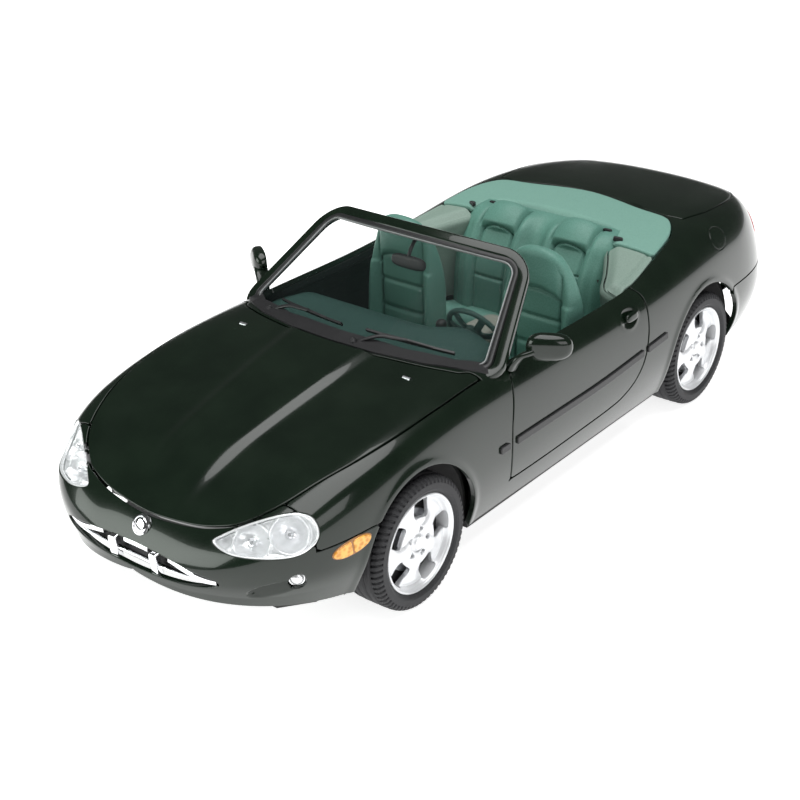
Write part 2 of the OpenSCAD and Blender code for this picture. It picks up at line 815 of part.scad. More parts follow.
module chassis_base() {
    color(dark)
        difference() {
            union() {
                translate([0, 0, plate_z]) linear_extrude(plate_t) plan(plate_outline);
                translate([-30, -113, plate_z]) cube([60, 1.6, 7.5]);
                translate([-30, 111.4, plate_z]) cube([60, 1.6, 8]);
                screw_boss(screw_front_y);
                screw_boss(screw_rear_y);
                both_sides() {
                    translate([kingpin_x, front_axle_y, plate_z]) cylinder(r = 3, h = 2.4, $fn = 40);
                    translate([liner_x - 3, front_axle_y - 3, plate_z]) cube([8, 6, plate_t]);
                    translate([21.5, front_axle_y - 3, plate_z]) cube([4, 6, 13.8]);
                    translate([20, rear_axle_y - 4, plate_z]) cube([5, 8, block_top - plate_z]);
                }
            }
            for (y = [screw_front_y, screw_rear_y])
                translate([0, y, plate_z - 1]) cylinder(r = screw_r, h = 7.5, $fn = 40);
            both_sides() {
                translate([kingpin_x, front_axle_y, plate_z + 0.6])
                    cylinder(r = kingpin_r + running, h = 5, $fn = 40);
                translate([19, rear_axle_y, tyre_r])
                    rotate([0, 90, 0])
                        cylinder(r = axle_bore, h = 7, $fn = 40);
            }
        }
}

// Inner arches: a half barrel over each wheel and its inner cheek
module arch_liner(y, r) {
    translate([liner_x - liner_t, y, tyre_r - 0.8])
        rotate([90, 0, 90])
            difference() {
                union() {
                    linear_extrude(18)
                        difference() {
                            circle(r + 1.7, $fn = 72);
                            circle(r + 0.7, $fn = 72);
                        }
                    linear_extrude(liner_t) circle(r + 1.2, $fn = 72);
                }
                translate([-40, -40, -1]) cube([80, 40 - 4.5, 60]);
            }
}

module arch_liners() {
    color(dark)
        difference() {
            both_sides() {
                arch_liner(front_axle_y, front_arch_r);
                arch_liner(rear_axle_y, rear_arch_r);
            }
            translate([-60, front_axle_y - 4, 0]) cube([120, 8, 27.8]);
            translate([-60, front_axle_y + steer_arm - 4, 0]) cube([120, 8, 23.5]);
            translate([-60, rear_axle_y - 3, 0]) cube([120, 6, tyre_r + 3]);
            // Clear of the nose and the tail where the body narrows
            both_sides() {
                translate([42, -110, 0]) cube([10, 12, 40]);
                translate([43.9, rear_axle_y + 20, 0]) cube([10, 10, 18]);
            }
        }
}

// Strap over the front suspension that holds the upper kingpins
module axle_bridge() {
    color(dark)
        difference() {
            translate([-kingpin_x - 2.8, front_axle_y - 3, plate_z + 13.9])
                cube([2 * kingpin_x + 5.6, 6, 2.4]);
            for (x = [-kingpin_x, kingpin_x])
                translate([x, front_axle_y, plate_z + 13])
                    cylinder(r = kingpin_r + running, h = 5, $fn = 40);
        }
}

// Steering knuckle: kingpin, stub axle and the arm back to the tie rod
module knuckle_left() {
    color(steel)
        translate([kingpin_x, front_axle_y, 0]) {
            translate([0, 0, plate_z + 0.8]) cylinder(r = kingpin_r, h = 15.2, $fn = 32);
            translate([0, 0, plate_z + 2.7]) cylinder(r = 2.5, h = 10.9, $fn = 32);
            translate([0, 0, tyre_r]) rotate([0, 90, 0]) cylinder(r = axle_r, h = 13.6, $fn = 32);
            translate([0, 0, tyre_r]) rotate([0, 90, 0]) cylinder(r = 2.6, h = 4.5, $fn = 32);
            translate([-1.2, 0, tyre_r + 1.2]) cube([2.4, steer_arm + 1.2, 2]);
            translate([0, steer_arm, tyre_r - 1.8]) cylinder(r = pin_r, h = 4, $fn = 24);
        }
}

module knuckle_right() {
    mirror([1, 0, 0]) knuckle_left();
}

// Tie rod with a slot over each arm's pin and a fork round the column's crank pin
slot_half = 0.6;
fork_half = 1.05;

module tie_rod() {
    y = front_axle_y + steer_arm;
    color(steel)
        translate([0, y, tyre_r - 1.3])
            difference() {
                union() {
                    translate([-kingpin_x - 2.4, -2.6, 0]) cube([2 * kingpin_x + 4.8, 4.6, 1.7]);
                    for (side = [-1, 1])
                        translate([column_head[0] + side * (fork_half + 0.6) - 0.6, 1, -2.4])
                            cube([1.2, 6.2, 5.4]);
                }
                for (x = [-kingpin_x, kingpin_x])
                    translate([x, 0, -1]) {
                        for (d = [-2 * slot_half, 0])
                            translate([0, d * 0.9, 0]) cylinder(r = pin_r + 0.12, h = 4, $fn = 24);
                        translate([-pin_r - 0.12, -1.8 * slot_half, 0])
                            cube([2 * pin_r + 0.24, 1.8 * slot_half, 4]);
                    }
            }
}

module rear_axle() {
    reach = track_face - 2;
    color(steel)
        translate([-reach, rear_axle_y, tyre_r])
            rotate([0, 90, 0])
                cylinder(r = axle_r, h = 2 * reach, $fn = 32);
}

// Rim with a barrel, a lip and a five-pointed star face round the hub
spokes = 5;
face_depth = 1.2;

module rim(y, bore) {
    translate([track_face - tyre_w, y, tyre_r])
        rotate([0, 90, 0])
            difference() {
                union() {
                    rotate_extrude($fn = 72)
                        polygon([[rim_r - 1.6, 0.4], [rim_r, 0.4], [rim_r, tyre_w - 0.4],
                            [rim_r - 0.8, tyre_w - 0.4], [rim_r - 1.4, tyre_w - face_depth],
                            [rim_r - 1.6, tyre_w - face_depth - 1.6]]);
                    translate([0, 0, tyre_w - face_depth - 1.6])
                        cylinder(r = rim_r - 1.3, h = 1.6, $fn = 72);
                    translate([0, 0, 4.8]) cylinder(r = 3.2, h = tyre_w - 5.4, $fn = 40);
                }
                translate([0, 0, -1]) cylinder(r = bore, h = tyre_w - 0.2, $fn = 40);
                for (i = [0:spokes - 1])
                    rotate([0, 0, i * 360 / spokes + 36])
                        translate([0, 0, 6])
                            linear_extrude(9)
                                polygon([[6.2, -0.9], [11.4, -3.4], [12, 0], [11.4, 3.4], [6.2, 0.9]]);
            }
}

module tyre(y) {
    w = tyre_w;
    color([0.06, 0.06, 0.06])
        translate([track_face - w, y, tyre_r])
            rotate([0, 90, 0])
                rotate_extrude($fn = 90)
                    polygon([[rim_r, 0.6], [rim_r + 0.6, 0], [rim_r + 2.6, 0], [tyre_r - 0.9, 0.8],
                        [tyre_r, 2], [tyre_r, 4], [tyre_r - 0.6, 4], [tyre_r - 0.6, 4.6],
                        [tyre_r, 4.6], [tyre_r, 6.4], [tyre_r - 0.6, 6.4], [tyre_r - 0.6, 7.1],
                        [tyre_r, 7.1], [tyre_r, w - 4.6], [tyre_r - 0.6, w - 4.6],
                        [tyre_r - 0.6, w - 4], [tyre_r, w - 4], [tyre_r, w - 2],
                        [tyre_r - 0.9, w - 0.8], [rim_r + 2.6, w], [rim_r + 0.6, w],
                        [rim_r, w - 0.6]]);
}

module rim_front_left() {
    color(chrome) rim(front_axle_y, axle_bore);
}

module rim_front_right() {
    mirror([1, 0, 0]) rim_front_left();
}

module rim_rear_left() {
    color(chrome) rim(rear_axle_y, axle_r);
}

module rim_rear_right() {
    mirror([1, 0, 0]) rim_rear_left();
}

module tyre_front_left() {
    tyre(front_axle_y);
}

module tyre_front_right() {
    mirror([1, 0, 0]) tyre(front_axle_y);
}

module tyre_rear_left() {
    tyre(rear_axle_y);
}

module tyre_rear_right() {
    mirror([1, 0, 0]) tyre(rear_axle_y);
}

// Engine with two cam covers, an intake plenum and an air box
module engine() {
    color(steel) {
        translate([-11, -98, 27.2]) cube([22, 38, 9]);
        for (side = [-1, 1])
            translate([side * 8.5, -79, 37])
                rotate([0, side * 28, 0])
                    cube([8, 34, 4.4], center = true);
    }
    color(dark) {
        translate([-5, -94, 35]) cube([10, 30, 6.2]);
        translate([13.5, -97, 27.2]) cube([11, 16, 9]);
    }
}

module radiator() {
    color(dark) {
        translate([-24, -111.3, plate_top + 0.1]) cube([48, 3.6, 20]);
        translate([-22, -107.6, plate_top + 6]) cube([44, 1.6, 13]);
    }
}

module headlamp_lenses() {
    color([0.9, 0.95, 1, 0.4]) casting()
        difference() {
            intersection() {
                layer(0, 0.9);
                both_sides() lamp_plug();
            }
            hood_cut(gap);
        }
}

module headlamp_reflectors() {
    color(chrome) casting()
        intersection() {
            layer(2.6, 3.6);
            both_sides() lamp_plug(-0.1);
        }
}

// Dark mesh set back in the grille mouth
module grille_insert() {
    color(dark) casting()
        intersection() {
            layer(3, 4.4);
            mouth_plug(0.6);
        }
}

// Bright blade along the top of the mouth, a thin mid bar and two uprights
module grille_chrome() {
    color(chrome) casting()
        intersection() {
            mouth_plug(-0.05);
            layer(0.6, 3.02);
            union() {
                translate([-30, -140, 26]) cube([60, 30, 1.5]);
                translate([-30, -140, 23.4]) cube([60, 30, 0.9]);
                for (x = [-7.2, 7.2])
                    translate([x - 1.4, -140, mouth_low_z]) cube([2.8, 30, 8.8]);
            }
        }
}

// Nose roundel, front side markers and fog lamps
module front_trim() {
    color(chrome) casting()
        intersection() {
            layer(-0.5, 0.02);
            translate([0, -140, 31]) rotate([-90, 0, 0]) cylinder(r = 2.5, h = 30, $fn = 28);
        }
    color([0.9, 0.5, 0.1]) casting()
        intersection() {
            layer(-0.4, 0.02);
            both_sides()
                translate([35, -103.2, 29.7])
                    rotate([0, 90, 0])
                        scale([1.7, 5.4, 1]) cylinder(r = 1, h = 30, $fn = 28);
        }
    color(chrome) casting()
        intersection() {
            layer(-0.3, 0.02);
            both_sides()
                translate([40, -116.4, 24.4])
                    rotate([0, 90, -40])
                        cylinder(r = 1.9, h = 40, $fn = 28, center = true);
            translate([-60, -130, 0]) cube([120, 60, 60]);
        }
}

// Tail lamps, number plate blank, rear side markers, fuel flap and exhaust tips
module rear_trim() {
    color([0.6, 0.03, 0.03]) casting()
        intersection() {
            layer(-0.1, 1.4);
            both_sides() tail_lamp_plug();
        }
    color(chrome) {
        translate([-14, half_length - 1.4, 34.5]) cube([28, 1.1, 7]);
        both_sides()
            translate([22, 113.1, 13.8])
                rotate([-90, 0, 0])
                    difference() {
                        cylinder(r = 2, h = 13, $fn = 32);
                        translate([0, 0, 6]) cylinder(r = 1.5, h = 8, $fn = 32);
                    }
    }
}

body_shell();
hood();
trunk_lid();
door_left();
door_right();
door_trim_left();
door_trim_right();
door_handle_left();
door_handle_right();
mirror_left();
mirror_right();
mirror_glass_left();
mirror_glass_right();
rub_strip_door_left();
rub_strip_door_right();
rub_strips_body();
windscreen_frame();
windscreen_seal();
windscreen_glass();
cowl_panel();
wipers();
rear_view_mirror();
sun_visors();
tonneau_cover();
interior_tub();
dashboard();
centre_console();
seat_left();
seat_right();
rear_seat();
steering_wheel();
hinge_arms_hood();
hinge_arms_trunk();
hinge_arms_door_left();
hinge_arms_door_right();
hinge_brackets();
trunk_tub();
chassis_base();
arch_liners();
axle_bridge();
tie_rod();
knuckle_left();
knuckle_right();
rear_axle();
rim_front_left();
rim_front_right();
rim_rear_left();
rim_rear_right();
tyre_front_left();
tyre_front_right();
tyre_rear_left();
tyre_rear_right();
engine();
radiator();
headlamp_lenses();
headlamp_reflectors();
grille_insert();
grille_chrome();
front_trim();
rear_trim();
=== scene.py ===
import math

import bmesh
import bpy
import numpy as np
from mathutils import Matrix, Vector


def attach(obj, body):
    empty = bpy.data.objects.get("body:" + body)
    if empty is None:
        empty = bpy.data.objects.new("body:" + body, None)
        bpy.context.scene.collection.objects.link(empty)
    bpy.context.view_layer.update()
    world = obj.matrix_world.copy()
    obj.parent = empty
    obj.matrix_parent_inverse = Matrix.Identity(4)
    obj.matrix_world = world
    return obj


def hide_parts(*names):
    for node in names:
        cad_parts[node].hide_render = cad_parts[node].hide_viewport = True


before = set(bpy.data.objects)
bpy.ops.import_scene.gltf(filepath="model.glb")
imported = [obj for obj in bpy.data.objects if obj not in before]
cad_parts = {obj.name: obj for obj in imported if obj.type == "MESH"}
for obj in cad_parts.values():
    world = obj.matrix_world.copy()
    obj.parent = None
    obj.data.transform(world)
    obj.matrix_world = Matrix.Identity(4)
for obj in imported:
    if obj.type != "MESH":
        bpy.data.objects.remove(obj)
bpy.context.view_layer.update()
MM = 0.001

# ---------------------------------------------------------------- body surface
# The same guide values, in millimetres, that the CAD castings are made from. One value for each
# of 13 even places along the car, from the nose to the tail.
HALF = 132.0
NOSE_Z, TAIL_Z = 20.5, 32.0
GUIDES = {
    "widest_x": [47.0, 48.9, 49.6, 49.6, 49.6, 49.8, 50.0, 50.4, 50.9, 51.0, 50.2, 48.2, 46.0],
    "widest_z": [29.0, 25.0, 27.0, 28.5, 29.0, 29.0, 29.0, 29.5, 31.0, 33.0, 33.0, 31.0, 28.0],
    "sill_x": [39.6, 44.5, 46.0, 46.5, 46.5, 46.8, 46.8, 46.8, 47.0, 47.0, 46.0, 44.0, 41.0],
    "sill_z": [18.2, 15.6, 13.0, 12.5, 12.5, 12.5, 12.5, 12.5, 12.5, 13.0, 14.0, 15.0, 17.0],
    "shoulder_x": [48.6, 45.8, 46.6, 46.7, 46.4, 46.8, 47.2, 47.4, 47.4, 46.6, 45.0, 42.5, 40.0],
    "shoulder_z": [38.4, 44.0, 48.4, 49.9, 49.6, 49.2, 48.5, 49.0, 51.0, 53.0, 52.5, 50.0, 46.0],
    "fender_x": [36.0, 38.0, 40.0, 41.0, 41.5, 42.5, 43.0, 42.5, 41.5, 40.0, 38.5, 36.0, 33.0],
    "fender_z": [39.6, 44.7, 49.2, 51.9, 51.9, 51.1, 50.5, 51.0, 53.0, 56.5, 56.5, 54.0, 50.0],
    "deck_x": [22.0, 24.0, 26.0, 28.0, 29.0, 30.0, 30.0, 30.0, 29.0, 28.0, 27.0, 25.0, 22.0],
    "deck_z": [38.5, 42.5, 47.0, 51.0, 54.0, 54.0, 52.0, 53.0, 55.0, 57.0, 56.5, 54.5, 51.5],
    "top_z": [38.5, 43.5, 48.5, 52.5, 55.5, 55.0, 53.0, 54.0, 56.0, 57.5, 57.0, 55.0, 52.5],
}


def guide(name, y):
    """Uniform cubic B-spline through a guide, carried on in a straight line at both ends."""
    g = np.array(GUIDES[name])
    g = np.concatenate([[2 * g[0] - g[1]], g, [2 * g[-1] - g[-2]]])
    last = len(g) - 3
    s = last * (np.asarray(y, float) / (2 * HALF) + 0.5)
    i = np.clip(np.floor(s).astype(int), 0, last - 1)
    f = s - i
    return (
        (1 - f) ** 3 * g[i]
        + (3 * f**3 - 6 * f**2 + 4) * g[i + 1]
        + (3 * f + 3 * f**2 - 3 * f**3 + 1) * g[i + 2]
        + f**3 * g[i + 3]
    ) / 6


def closing(d, reach, p, q):
    """Falls from 1 to 0 over reach: how the nose and the tail round in."""
    return (1 - np.clip(d / reach, 0, 1) ** p) ** (1 / q)


def section_weights(v):
    """Weights of the eight control points of a clamped cubic B-spline at v."""
    knots = np.clip((np.arange(12) - 3) / 5, 0, 1)
    v = np.minimum(np.asarray(v, float), 1 - 1e-12)
    n = [((knots[i] <= v) & (v < knots[i + 1])).astype(float) for i in range(11)]
    for k in (1, 2, 3):
        n = [
            (0 if knots[i + k] == knots[i] else (v - knots[i]) / (knots[i + k] - knots[i]) * n[i])
            + (0 if knots[i + k + 1] == knots[i + 1] else
               (knots[i + k + 1] - v) / (knots[i + k + 1] - knots[i + 1]) * n[i + 1])
            for i in range(len(n) - 1)
        ]
    return np.stack(n, -1)


def surface(y, v):
    """Points of the body surface: y along the car, v from the left sill (0) over the centreline
    (1) to the right sill (2)."""
    y, v = np.broadcast_arrays(np.asarray(y, float), np.asarray(v, float))
    side = np.where(v > 1, -1.0, 1.0)
    w = section_weights(np.where(v > 1, 2 - v, v))
    wide, sill_z = guide("widest_x", y), guide("sill_z", y)
    deck, top = guide("deck_x", y), guide("top_z", y)
    xs = [guide("sill_x", y), wide - 0.6, wide + 0.3, guide("shoulder_x", y) + 1.2,
          guide("fender_x", y), deck, deck / 2, deck * 0]
    zs = [sill_z, sill_z + 7, guide("widest_z", y), guide("shoulder_z", y) - 2,
          guide("fender_z", y), guide("deck_z", y), top, top]
    x = sum(w[..., k] * xs[k] for k in range(8))
    z = sum(w[..., k] * zs[k] for k in range(8))
    close_x = closing(-73 - y, 59, 3.6, 2.9) * closing(y - 88, 44, 3, 2.8)
    above = closing(-98 - y, 34, 2.2, 2.3) * closing(y - 112, 20, 2.6, 2.8)
    below = closing(-116 - y, 16, 1.3, 5.9) * closing(y - 120, 12, 2.5, 5)
    mid = np.where(y < 0, NOSE_Z, TAIL_Z)
    z = mid + (z - mid) * np.where(z > mid, above, below)
    return np.stack([side * x * close_x, y, z], -1)


def surface_normal(y, v):
    """Outward unit normals of the body surface."""
    y, v = np.broadcast_arrays(np.asarray(y, float), np.asarray(v, float))
    reach = HALF - 1e-4
    dy, dv = 0.02, 2e-4
    a = surface(np.clip(y + dy, -reach, reach), v) - surface(np.clip(y - dy, -reach, reach), v)
    b = surface(y, np.clip(v + dv, 0, 2)) - surface(y, np.clip(v - dv, 0, 2))
    n = np.cross(a, b)
    return n / np.maximum(np.linalg.norm(n, axis=-1, keepdims=True), 1e-12)


# ---------------------------------------------------------------- outlines
def smooth_loop(points, closed=True, per=10, sharp=()):
    """A dense curve through given points: Catmull-Rom, with corners kept where asked."""
    p = np.array(points, float)
    n = len(p)
    out = []
    for i in range(n if closed else n - 1):
        p1, p2 = p[i], p[(i + 1) % n]
        p0 = p[i - 1] if (closed or i > 0) and i not in sharp else 2 * p1 - p2
        p3 = (p[(i + 2) % n] if (closed or i < n - 2) and (i + 1) % n not in sharp else 2 * p2 - p1)
        for t in np.arange(per) / per:
            out.append(0.5 * (2 * p1 + (p2 - p0) * t + (2 * p0 - 5 * p1 + 4 * p2 - p3) * t**2
                              + (3 * p1 - p0 - 3 * p2 + p3) * t**3))
    if not closed:
        out.append(p[-1])
    return np.array(out)


def inside_distance(a, b, loop):
    """Signed distance of the points (a, b) to a closed loop, positive inside."""
    shape = np.shape(a)
    q = np.stack([np.ravel(a), np.ravel(b)], -1)
    s, e = loop, np.roll(loop, -1, 0)
    d = e - s
    best = np.full(len(q), 1e18)
    inside = np.zeros(len(q), bool)
    for k in range(len(loop)):
        w = q - s[k]
        t = np.clip((w @ d[k]) / max(d[k] @ d[k], 1e-12), 0, 1)
        best = np.minimum(best, ((w - t[:, None] * d[k]) ** 2).sum(1))
        crosses = (s[k, 1] > q[:, 1]) != (e[k, 1] > q[:, 1])
        if crosses.any():
            at = s[k, 0] + (q[:, 1] - s[k, 1]) / (d[k, 1] if d[k, 1] else 1e-12) * d[k, 0]
            inside ^= crosses & (q[:, 0] < at)
    return (np.sqrt(best) * np.where(inside, 1, -1)).reshape(shape)


def mirrored(points):
    """Closes a left-half plan outline with its mirror image."""
    p = np.array(points, float)
    q = p[::-1] * [-1, 1]
    keep = np.abs(q[:, 0]) > 1e-6
    return np.concatenate([p, q[keep]])


HOOD = smooth_loop(mirrored([
    [0, -125.2], [12.6, -124.2], [21, -122.5], [26.8, -119.9], [33.2, -113.3], [37.4, -103.5],
    [40.6, -92], [42.4, -78.9], [42.9, -62.4], [42.7, -52], [42.4, -30], [0, -30]]), sharp=(10, 11, 12))
HOOD_REAR = smooth_loop(mirrored([
    [0, -160], [70, -160], [70, -43.6], [43, -44.6], [37.4, -48.6], [28.9, -52.4], [14.5, -56],
    [0, -56.9]]), sharp=(1, 2, 12, 13))
TRUNK = smooth_loop(mirrored([
    [0, 55], [31, 55], [34.6, 76], [36, 85], [35.9, 93], [34.6, 104], [31.8, 113], [27, 118.3],
    [18, 121.2], [0, 122.6]]), sharp=(0, 1, 18))
TRUNK_FRONT = smooth_loop(mirrored([
    [0, 79], [12, 77.7], [21, 75.6], [29, 74.3], [35, 75], [70, 80], [70, 170], [0, 170]]),
    sharp=(5, 6, 8, 9))
CABIN = smooth_loop(mirrored([
    [0, -50.5], [20, -49], [34, -44.5], [40, -39.5], [42, -34], [42.3, 0], [42.8, 27], [42.6, 34],
    [40.4, 48], [38.1, 61], [34.3, 68.6], [30, 71.8], [20, 72.8], [0, 76.4]]))
DOOR = smooth_loop([
    [-38.9, 20.6], [-37.8, 19.5], [-20, 19.5], [0, 20.2], [11, 20.9], [17, 22], [22.8, 25],
    [27.3, 30], [29.9, 37], [31.4, 44], [32.4, 50], [32, 64], [-35.6, 64], [-37.2, 44], [-38.6, 34]],
    sharp=(11, 12))
DOOR_DRAFT, DOOR_X = 0.55, 49.0
GAP = 0.42
SKIN = 1.5
TYRE_R = 18.4
FRONT_Y, REAR_Y = -77.8, 66.0
LAMP = {"centre": [33.1, -118.2, 34.6], "half": [12.8, 5.1],
        "across": [0.716, 0.688, 0.117], "up": [-0.446, 0.322, 0.835]}
LAMP_LOOP = smooth_loop([[-12.7, 1.2], [-8.6, -2.4], [0, -4.9], [7.6, -4.9], [12.3, -1.6], [11.4, 3.2],
                         [6, 4.8], [-2.2, 4.2], [-10.4, 2.6]])
FOG = {"centre": [40.3, -116.2, 24.9], "half": [2.1, 2.1],
       "across": [0.62, 0.78, 0.0], "up": [0.0, 0.0, 1.0]}
SCOOP = {"centre": [36.6, -120.6, 23.2], "half": [6.4, 2.3],
         "across": [0.68, 0.70, 0.21], "up": [-0.15, -0.15, 0.97]}
MARKER = {"centre": [46.2, -103.0, 30.2], "half": [5.7, 1.75],
          "across": [0.28, 0.954, 0.10], "up": [0.05, -0.12, 0.99]}
FLAP = {"centre": [44.6, 80.2, 50.6], "half": [4.6, 3.6],
        "across": [-0.12, 0.96, 0.25], "up": [-0.62, -0.25, 0.74]}
HANDLE = {"centre": [48.4, 21.8, 45.4], "half": [4.1, 3.1],
          "across": [-0.02, 0.99, 0.10], "up": [-0.30, -0.10, 0.95]}
TAIL_LAMP = {"centre": [35.5, 121, 43], "half": [8, 4.6],
             "across": [0.84, -0.54, 0], "up": [-0.15, -0.24, 0.96]}


def in_hood(p):
    """Distance into the hood's outline, whose rear edge leans with the cowl."""
    lean = (p[..., 2] - 52) * math.tan(math.radians(21))
    return np.minimum(inside_distance(p[..., 0], p[..., 1], HOOD),
                      inside_distance(p[..., 0], p[..., 1] - lean, HOOD_REAR))


def in_trunk(p):
    """Distance into the trunk lid's outline, whose front edge leans back."""
    lean = (p[..., 2] - 57) * math.tan(math.radians(27))
    return np.minimum(inside_distance(p[..., 0], p[..., 1], TRUNK),
                      inside_distance(p[..., 0], p[..., 1] + lean, TRUNK_FRONT))


def in_cabin(p):
    return np.where(p[..., 2] > 25, inside_distance(p[..., 0], p[..., 1], CABIN), -50)


def in_door(p):
    x = np.abs(p[..., 0])
    return np.minimum(inside_distance(p[..., 1], p[..., 2], DOOR) + DOOR_DRAFT * (x - DOOR_X), x - 38)


def in_arch(p, y, r, lift):
    """Distance into a wheel arch: a half circle of radius r that carries on straight down."""
    d = np.hypot(p[..., 1] - y, np.maximum(p[..., 2] - lift, 0))
    return np.where(np.abs(p[..., 0]) > 30, r - d, -50)


def in_oval(p, face, grow=0.0, power=2.0):
    """Distance into an oval set on a face, for both sides of the car."""
    q = p.copy()
    q[..., 0] = np.abs(q[..., 0])
    q = q - face["centre"]
    a, b = q @ np.array(face["across"]), q @ np.array(face["up"])
    n = np.cross(face["across"], face["up"])
    h = np.array(face["half"]) + grow
    r = (np.abs(a / h[0]) ** power + np.abs(b / h[1]) ** power) ** (1 / power)
    flat = (1 - r) * np.where(r > 0.05, np.hypot(a, b) / np.maximum(r, 0.05), h[1])
    return np.where(np.abs(q @ n) < 12, flat, -50)


def face_parts(p, face):
    """Coordinates along, up and out of a face set on the car, the same for both sides."""
    q = np.array(p, float)
    q[..., 0] = np.abs(q[..., 0])
    q = q - face["centre"]
    across, up = np.array(face["across"]), np.array(face["up"])
    return q @ across, q @ up, q @ np.cross(across, up)


def in_lamp(p, grow=0.0):
    a, b, n = face_parts(p, LAMP)
    near = (np.abs(a) < 18) & (np.abs(b) < 12) & (np.abs(n) < 12)
    f = np.full(a.shape, -50.0)
    f[near] = inside_distance(a[near], b[near], LAMP_LOOP) + grow
    return f


def face_height(face, reach=1.35, power=4):
    """The body surface over a face as a polynomial: outward height at (along, up)."""
    y = np.linspace(max(face["centre"][1] - 22, -HALF + 0.05), min(face["centre"][1] + 22, HALF - 0.05), 90)
    yy, vv = np.meshgrid(y, np.linspace(0.05, 0.99, 120), indexing="ij")
    a, b, n = face_parts(surface(yy, vv), face)
    h = np.array(face["half"]) * reach + 1
    keep = (np.abs(a) < h[0]) & (np.abs(b) < h[1]) & (np.abs(n) < 10)
    a, b, n = a[keep] / h[0], b[keep] / h[1], n[keep]
    terms = [(i, j) for i in range(power + 1) for j in range(power + 1 - i)]
    fit_to = np.stack([a**i * b**j for i, j in terms], -1)
    weights = np.linalg.lstsq(fit_to, n, rcond=None)[0]

    def height(a, b):
        a, b = np.clip(a / h[0], -1, 1), np.clip(b / h[1], -1, 1)
        return sum(w * a**i * b**j for w, (i, j) in zip(weights, terms))
    return height


def on_face(face, a, b, n, side=1):
    """Points from coordinates along, up and out of a face."""
    across, up = np.array(face["across"]), np.array(face["up"])
    a, b, n = np.broadcast_arrays(a, b, n)
    q = (np.array(face["centre"]) + a[..., None] * across + b[..., None] * up
         + n[..., None] * np.cross(across, up))
    return q * [side, 1, 1]


MOUTH_HALF, MOUTH_LOW, MOUTH_HIGH = 26.6, 21.4, 27.3


def in_mouth(p, grow=0.0):
    """Distance into the grille's lens-shaped mouth."""
    wide, high = MOUTH_HALF + grow, (MOUTH_HIGH - MOUTH_LOW) / 2 + grow
    a, b = np.abs(p[..., 0]), np.abs(p[..., 2] - (MOUTH_HIGH + MOUTH_LOW) / 2)
    r = ((a / wide) ** 2.3 + (b / high) ** 2.3) ** (1 / 2.3)
    d = (1 - r) * np.hypot(a, b) / np.maximum(r, 0.05)
    return np.where(p[..., 1] < -110, np.where(r > 0.05, d, high), -50)


# ---------------------------------------------------------------- meshes
SIDES = ((1, "left"), (-1, "right"))


def new_object(name, mesh):
    obj = bpy.data.objects.new(name, mesh)
    bpy.context.scene.collection.objects.link(obj)
    return obj


def mesh_object(name, points, faces, normals=None):
    """An object from points in millimetres."""
    mesh = bpy.data.meshes.new(name)
    mesh.from_pydata([tuple(p) for p in np.asarray(points, float) * MM], [], faces)
    mesh.polygons.foreach_set("use_smooth", [True] * len(mesh.polygons))
    mesh.update()
    if normals is not None:
        mesh.normals_split_custom_set_from_vertices([tuple(n) for n in normals])
    return new_object(name, mesh)


def stations(y0, y1, step):
    """Places along the car, closer together near the nose and the tail."""
    out = [y0]
    while out[-1] < y1:
        y = out[-1]
        room = HALF - abs(y + step / 2)
        out.append(y + step * min(1.0, max(0.04, room / 14)))
    out[-1] = y1
    return np.array(out)


def clipped_grid(y, v, place, inside):
    """Marching squares on a surface grid: keeps inside > 0 and returns the parameters of the
    points, the faces, and the directed boundary edges that lie on inside = 0."""
    yy, vv = np.meshgrid(y, v, indexing="ij")
    f = inside(place(yy, vv))
    index = -np.ones(yy.shape, int)
    keep = f > 0
    index[keep] = np.arange(keep.sum())
    par = [np.stack([yy[keep], vv[keep]], -1)]
    count = int(keep.sum())
    cuts = {}
    ends = []

    def crossing(a, b):
        nonlocal count
        key = (a, b) if a < b else (b, a)
        if key not in cuts:
            cuts[key] = count
            ends.append(key)
            count += 1
        return cuts[key]

    faces, rim = [], []
    mixed = keep[:-1, :-1].astype(int) + keep[1:, :-1] + keep[:-1, 1:] + keep[1:, 1:]
    for i, j in zip(*np.nonzero(mixed)):
        corners = [(i, j), (i + 1, j), (i + 1, j + 1), (i, j + 1)]
        if mixed[i, j] == 4:
            faces.append([index[c] for c in corners])
            continue
        poly, on_cut = [], []
        for k in range(4):
            a, b = corners[k], corners[(k + 1) % 4]
            if keep[a]:
                poly.append(index[a])
                on_cut.append(False)
            if keep[a] != keep[b]:
                poly.append(crossing(a, b))
                on_cut.append(True)
        if sum(on_cut) > 2:
            continue
        if len(poly) > 2:
            faces.append(poly)
            n = len(poly)
            for k in range(n):
                if on_cut[k] and on_cut[(k + 1) % n]:
                    rim.append((poly[k], poly[(k + 1) % n]))
    if ends:
        a = np.array([(yy[k[0]], vv[k[0]]) for k in ends])
        b = np.array([(yy[k[1]], vv[k[1]]) for k in ends])
        fa = np.array([f[k[0]] for k in ends])
        lo, hi = np.where((fa > 0)[:, None], a, b), np.where((fa > 0)[:, None], b, a)
        for _ in range(18):
            mid = (lo + hi) / 2
            good = (inside(place(mid[:, 0], mid[:, 1])) > 0)[:, None]
            lo, hi = np.where(good, mid, lo), np.where(good, hi, mid)
        par.append(lo)
    return np.concatenate(par), faces, rim


def rim_loops(rim):
    """Chains directed boundary edges into loops, closed or open."""
    after = dict(rim)
    starts = [a for a, _ in rim if a not in set(b for _, b in rim)]
    seen, loops = set(), []
    for s in starts + [a for a, _ in rim]:
        if s in seen:
            continue
        loop = [s]
        seen.add(s)
        while loop[-1] in after and after[loop[-1]] not in seen:
            loop.append(after[loop[-1]])
            seen.add(loop[-1])
        loops.append((loop, after.get(loop[-1]) == loop[0]))
    return loops


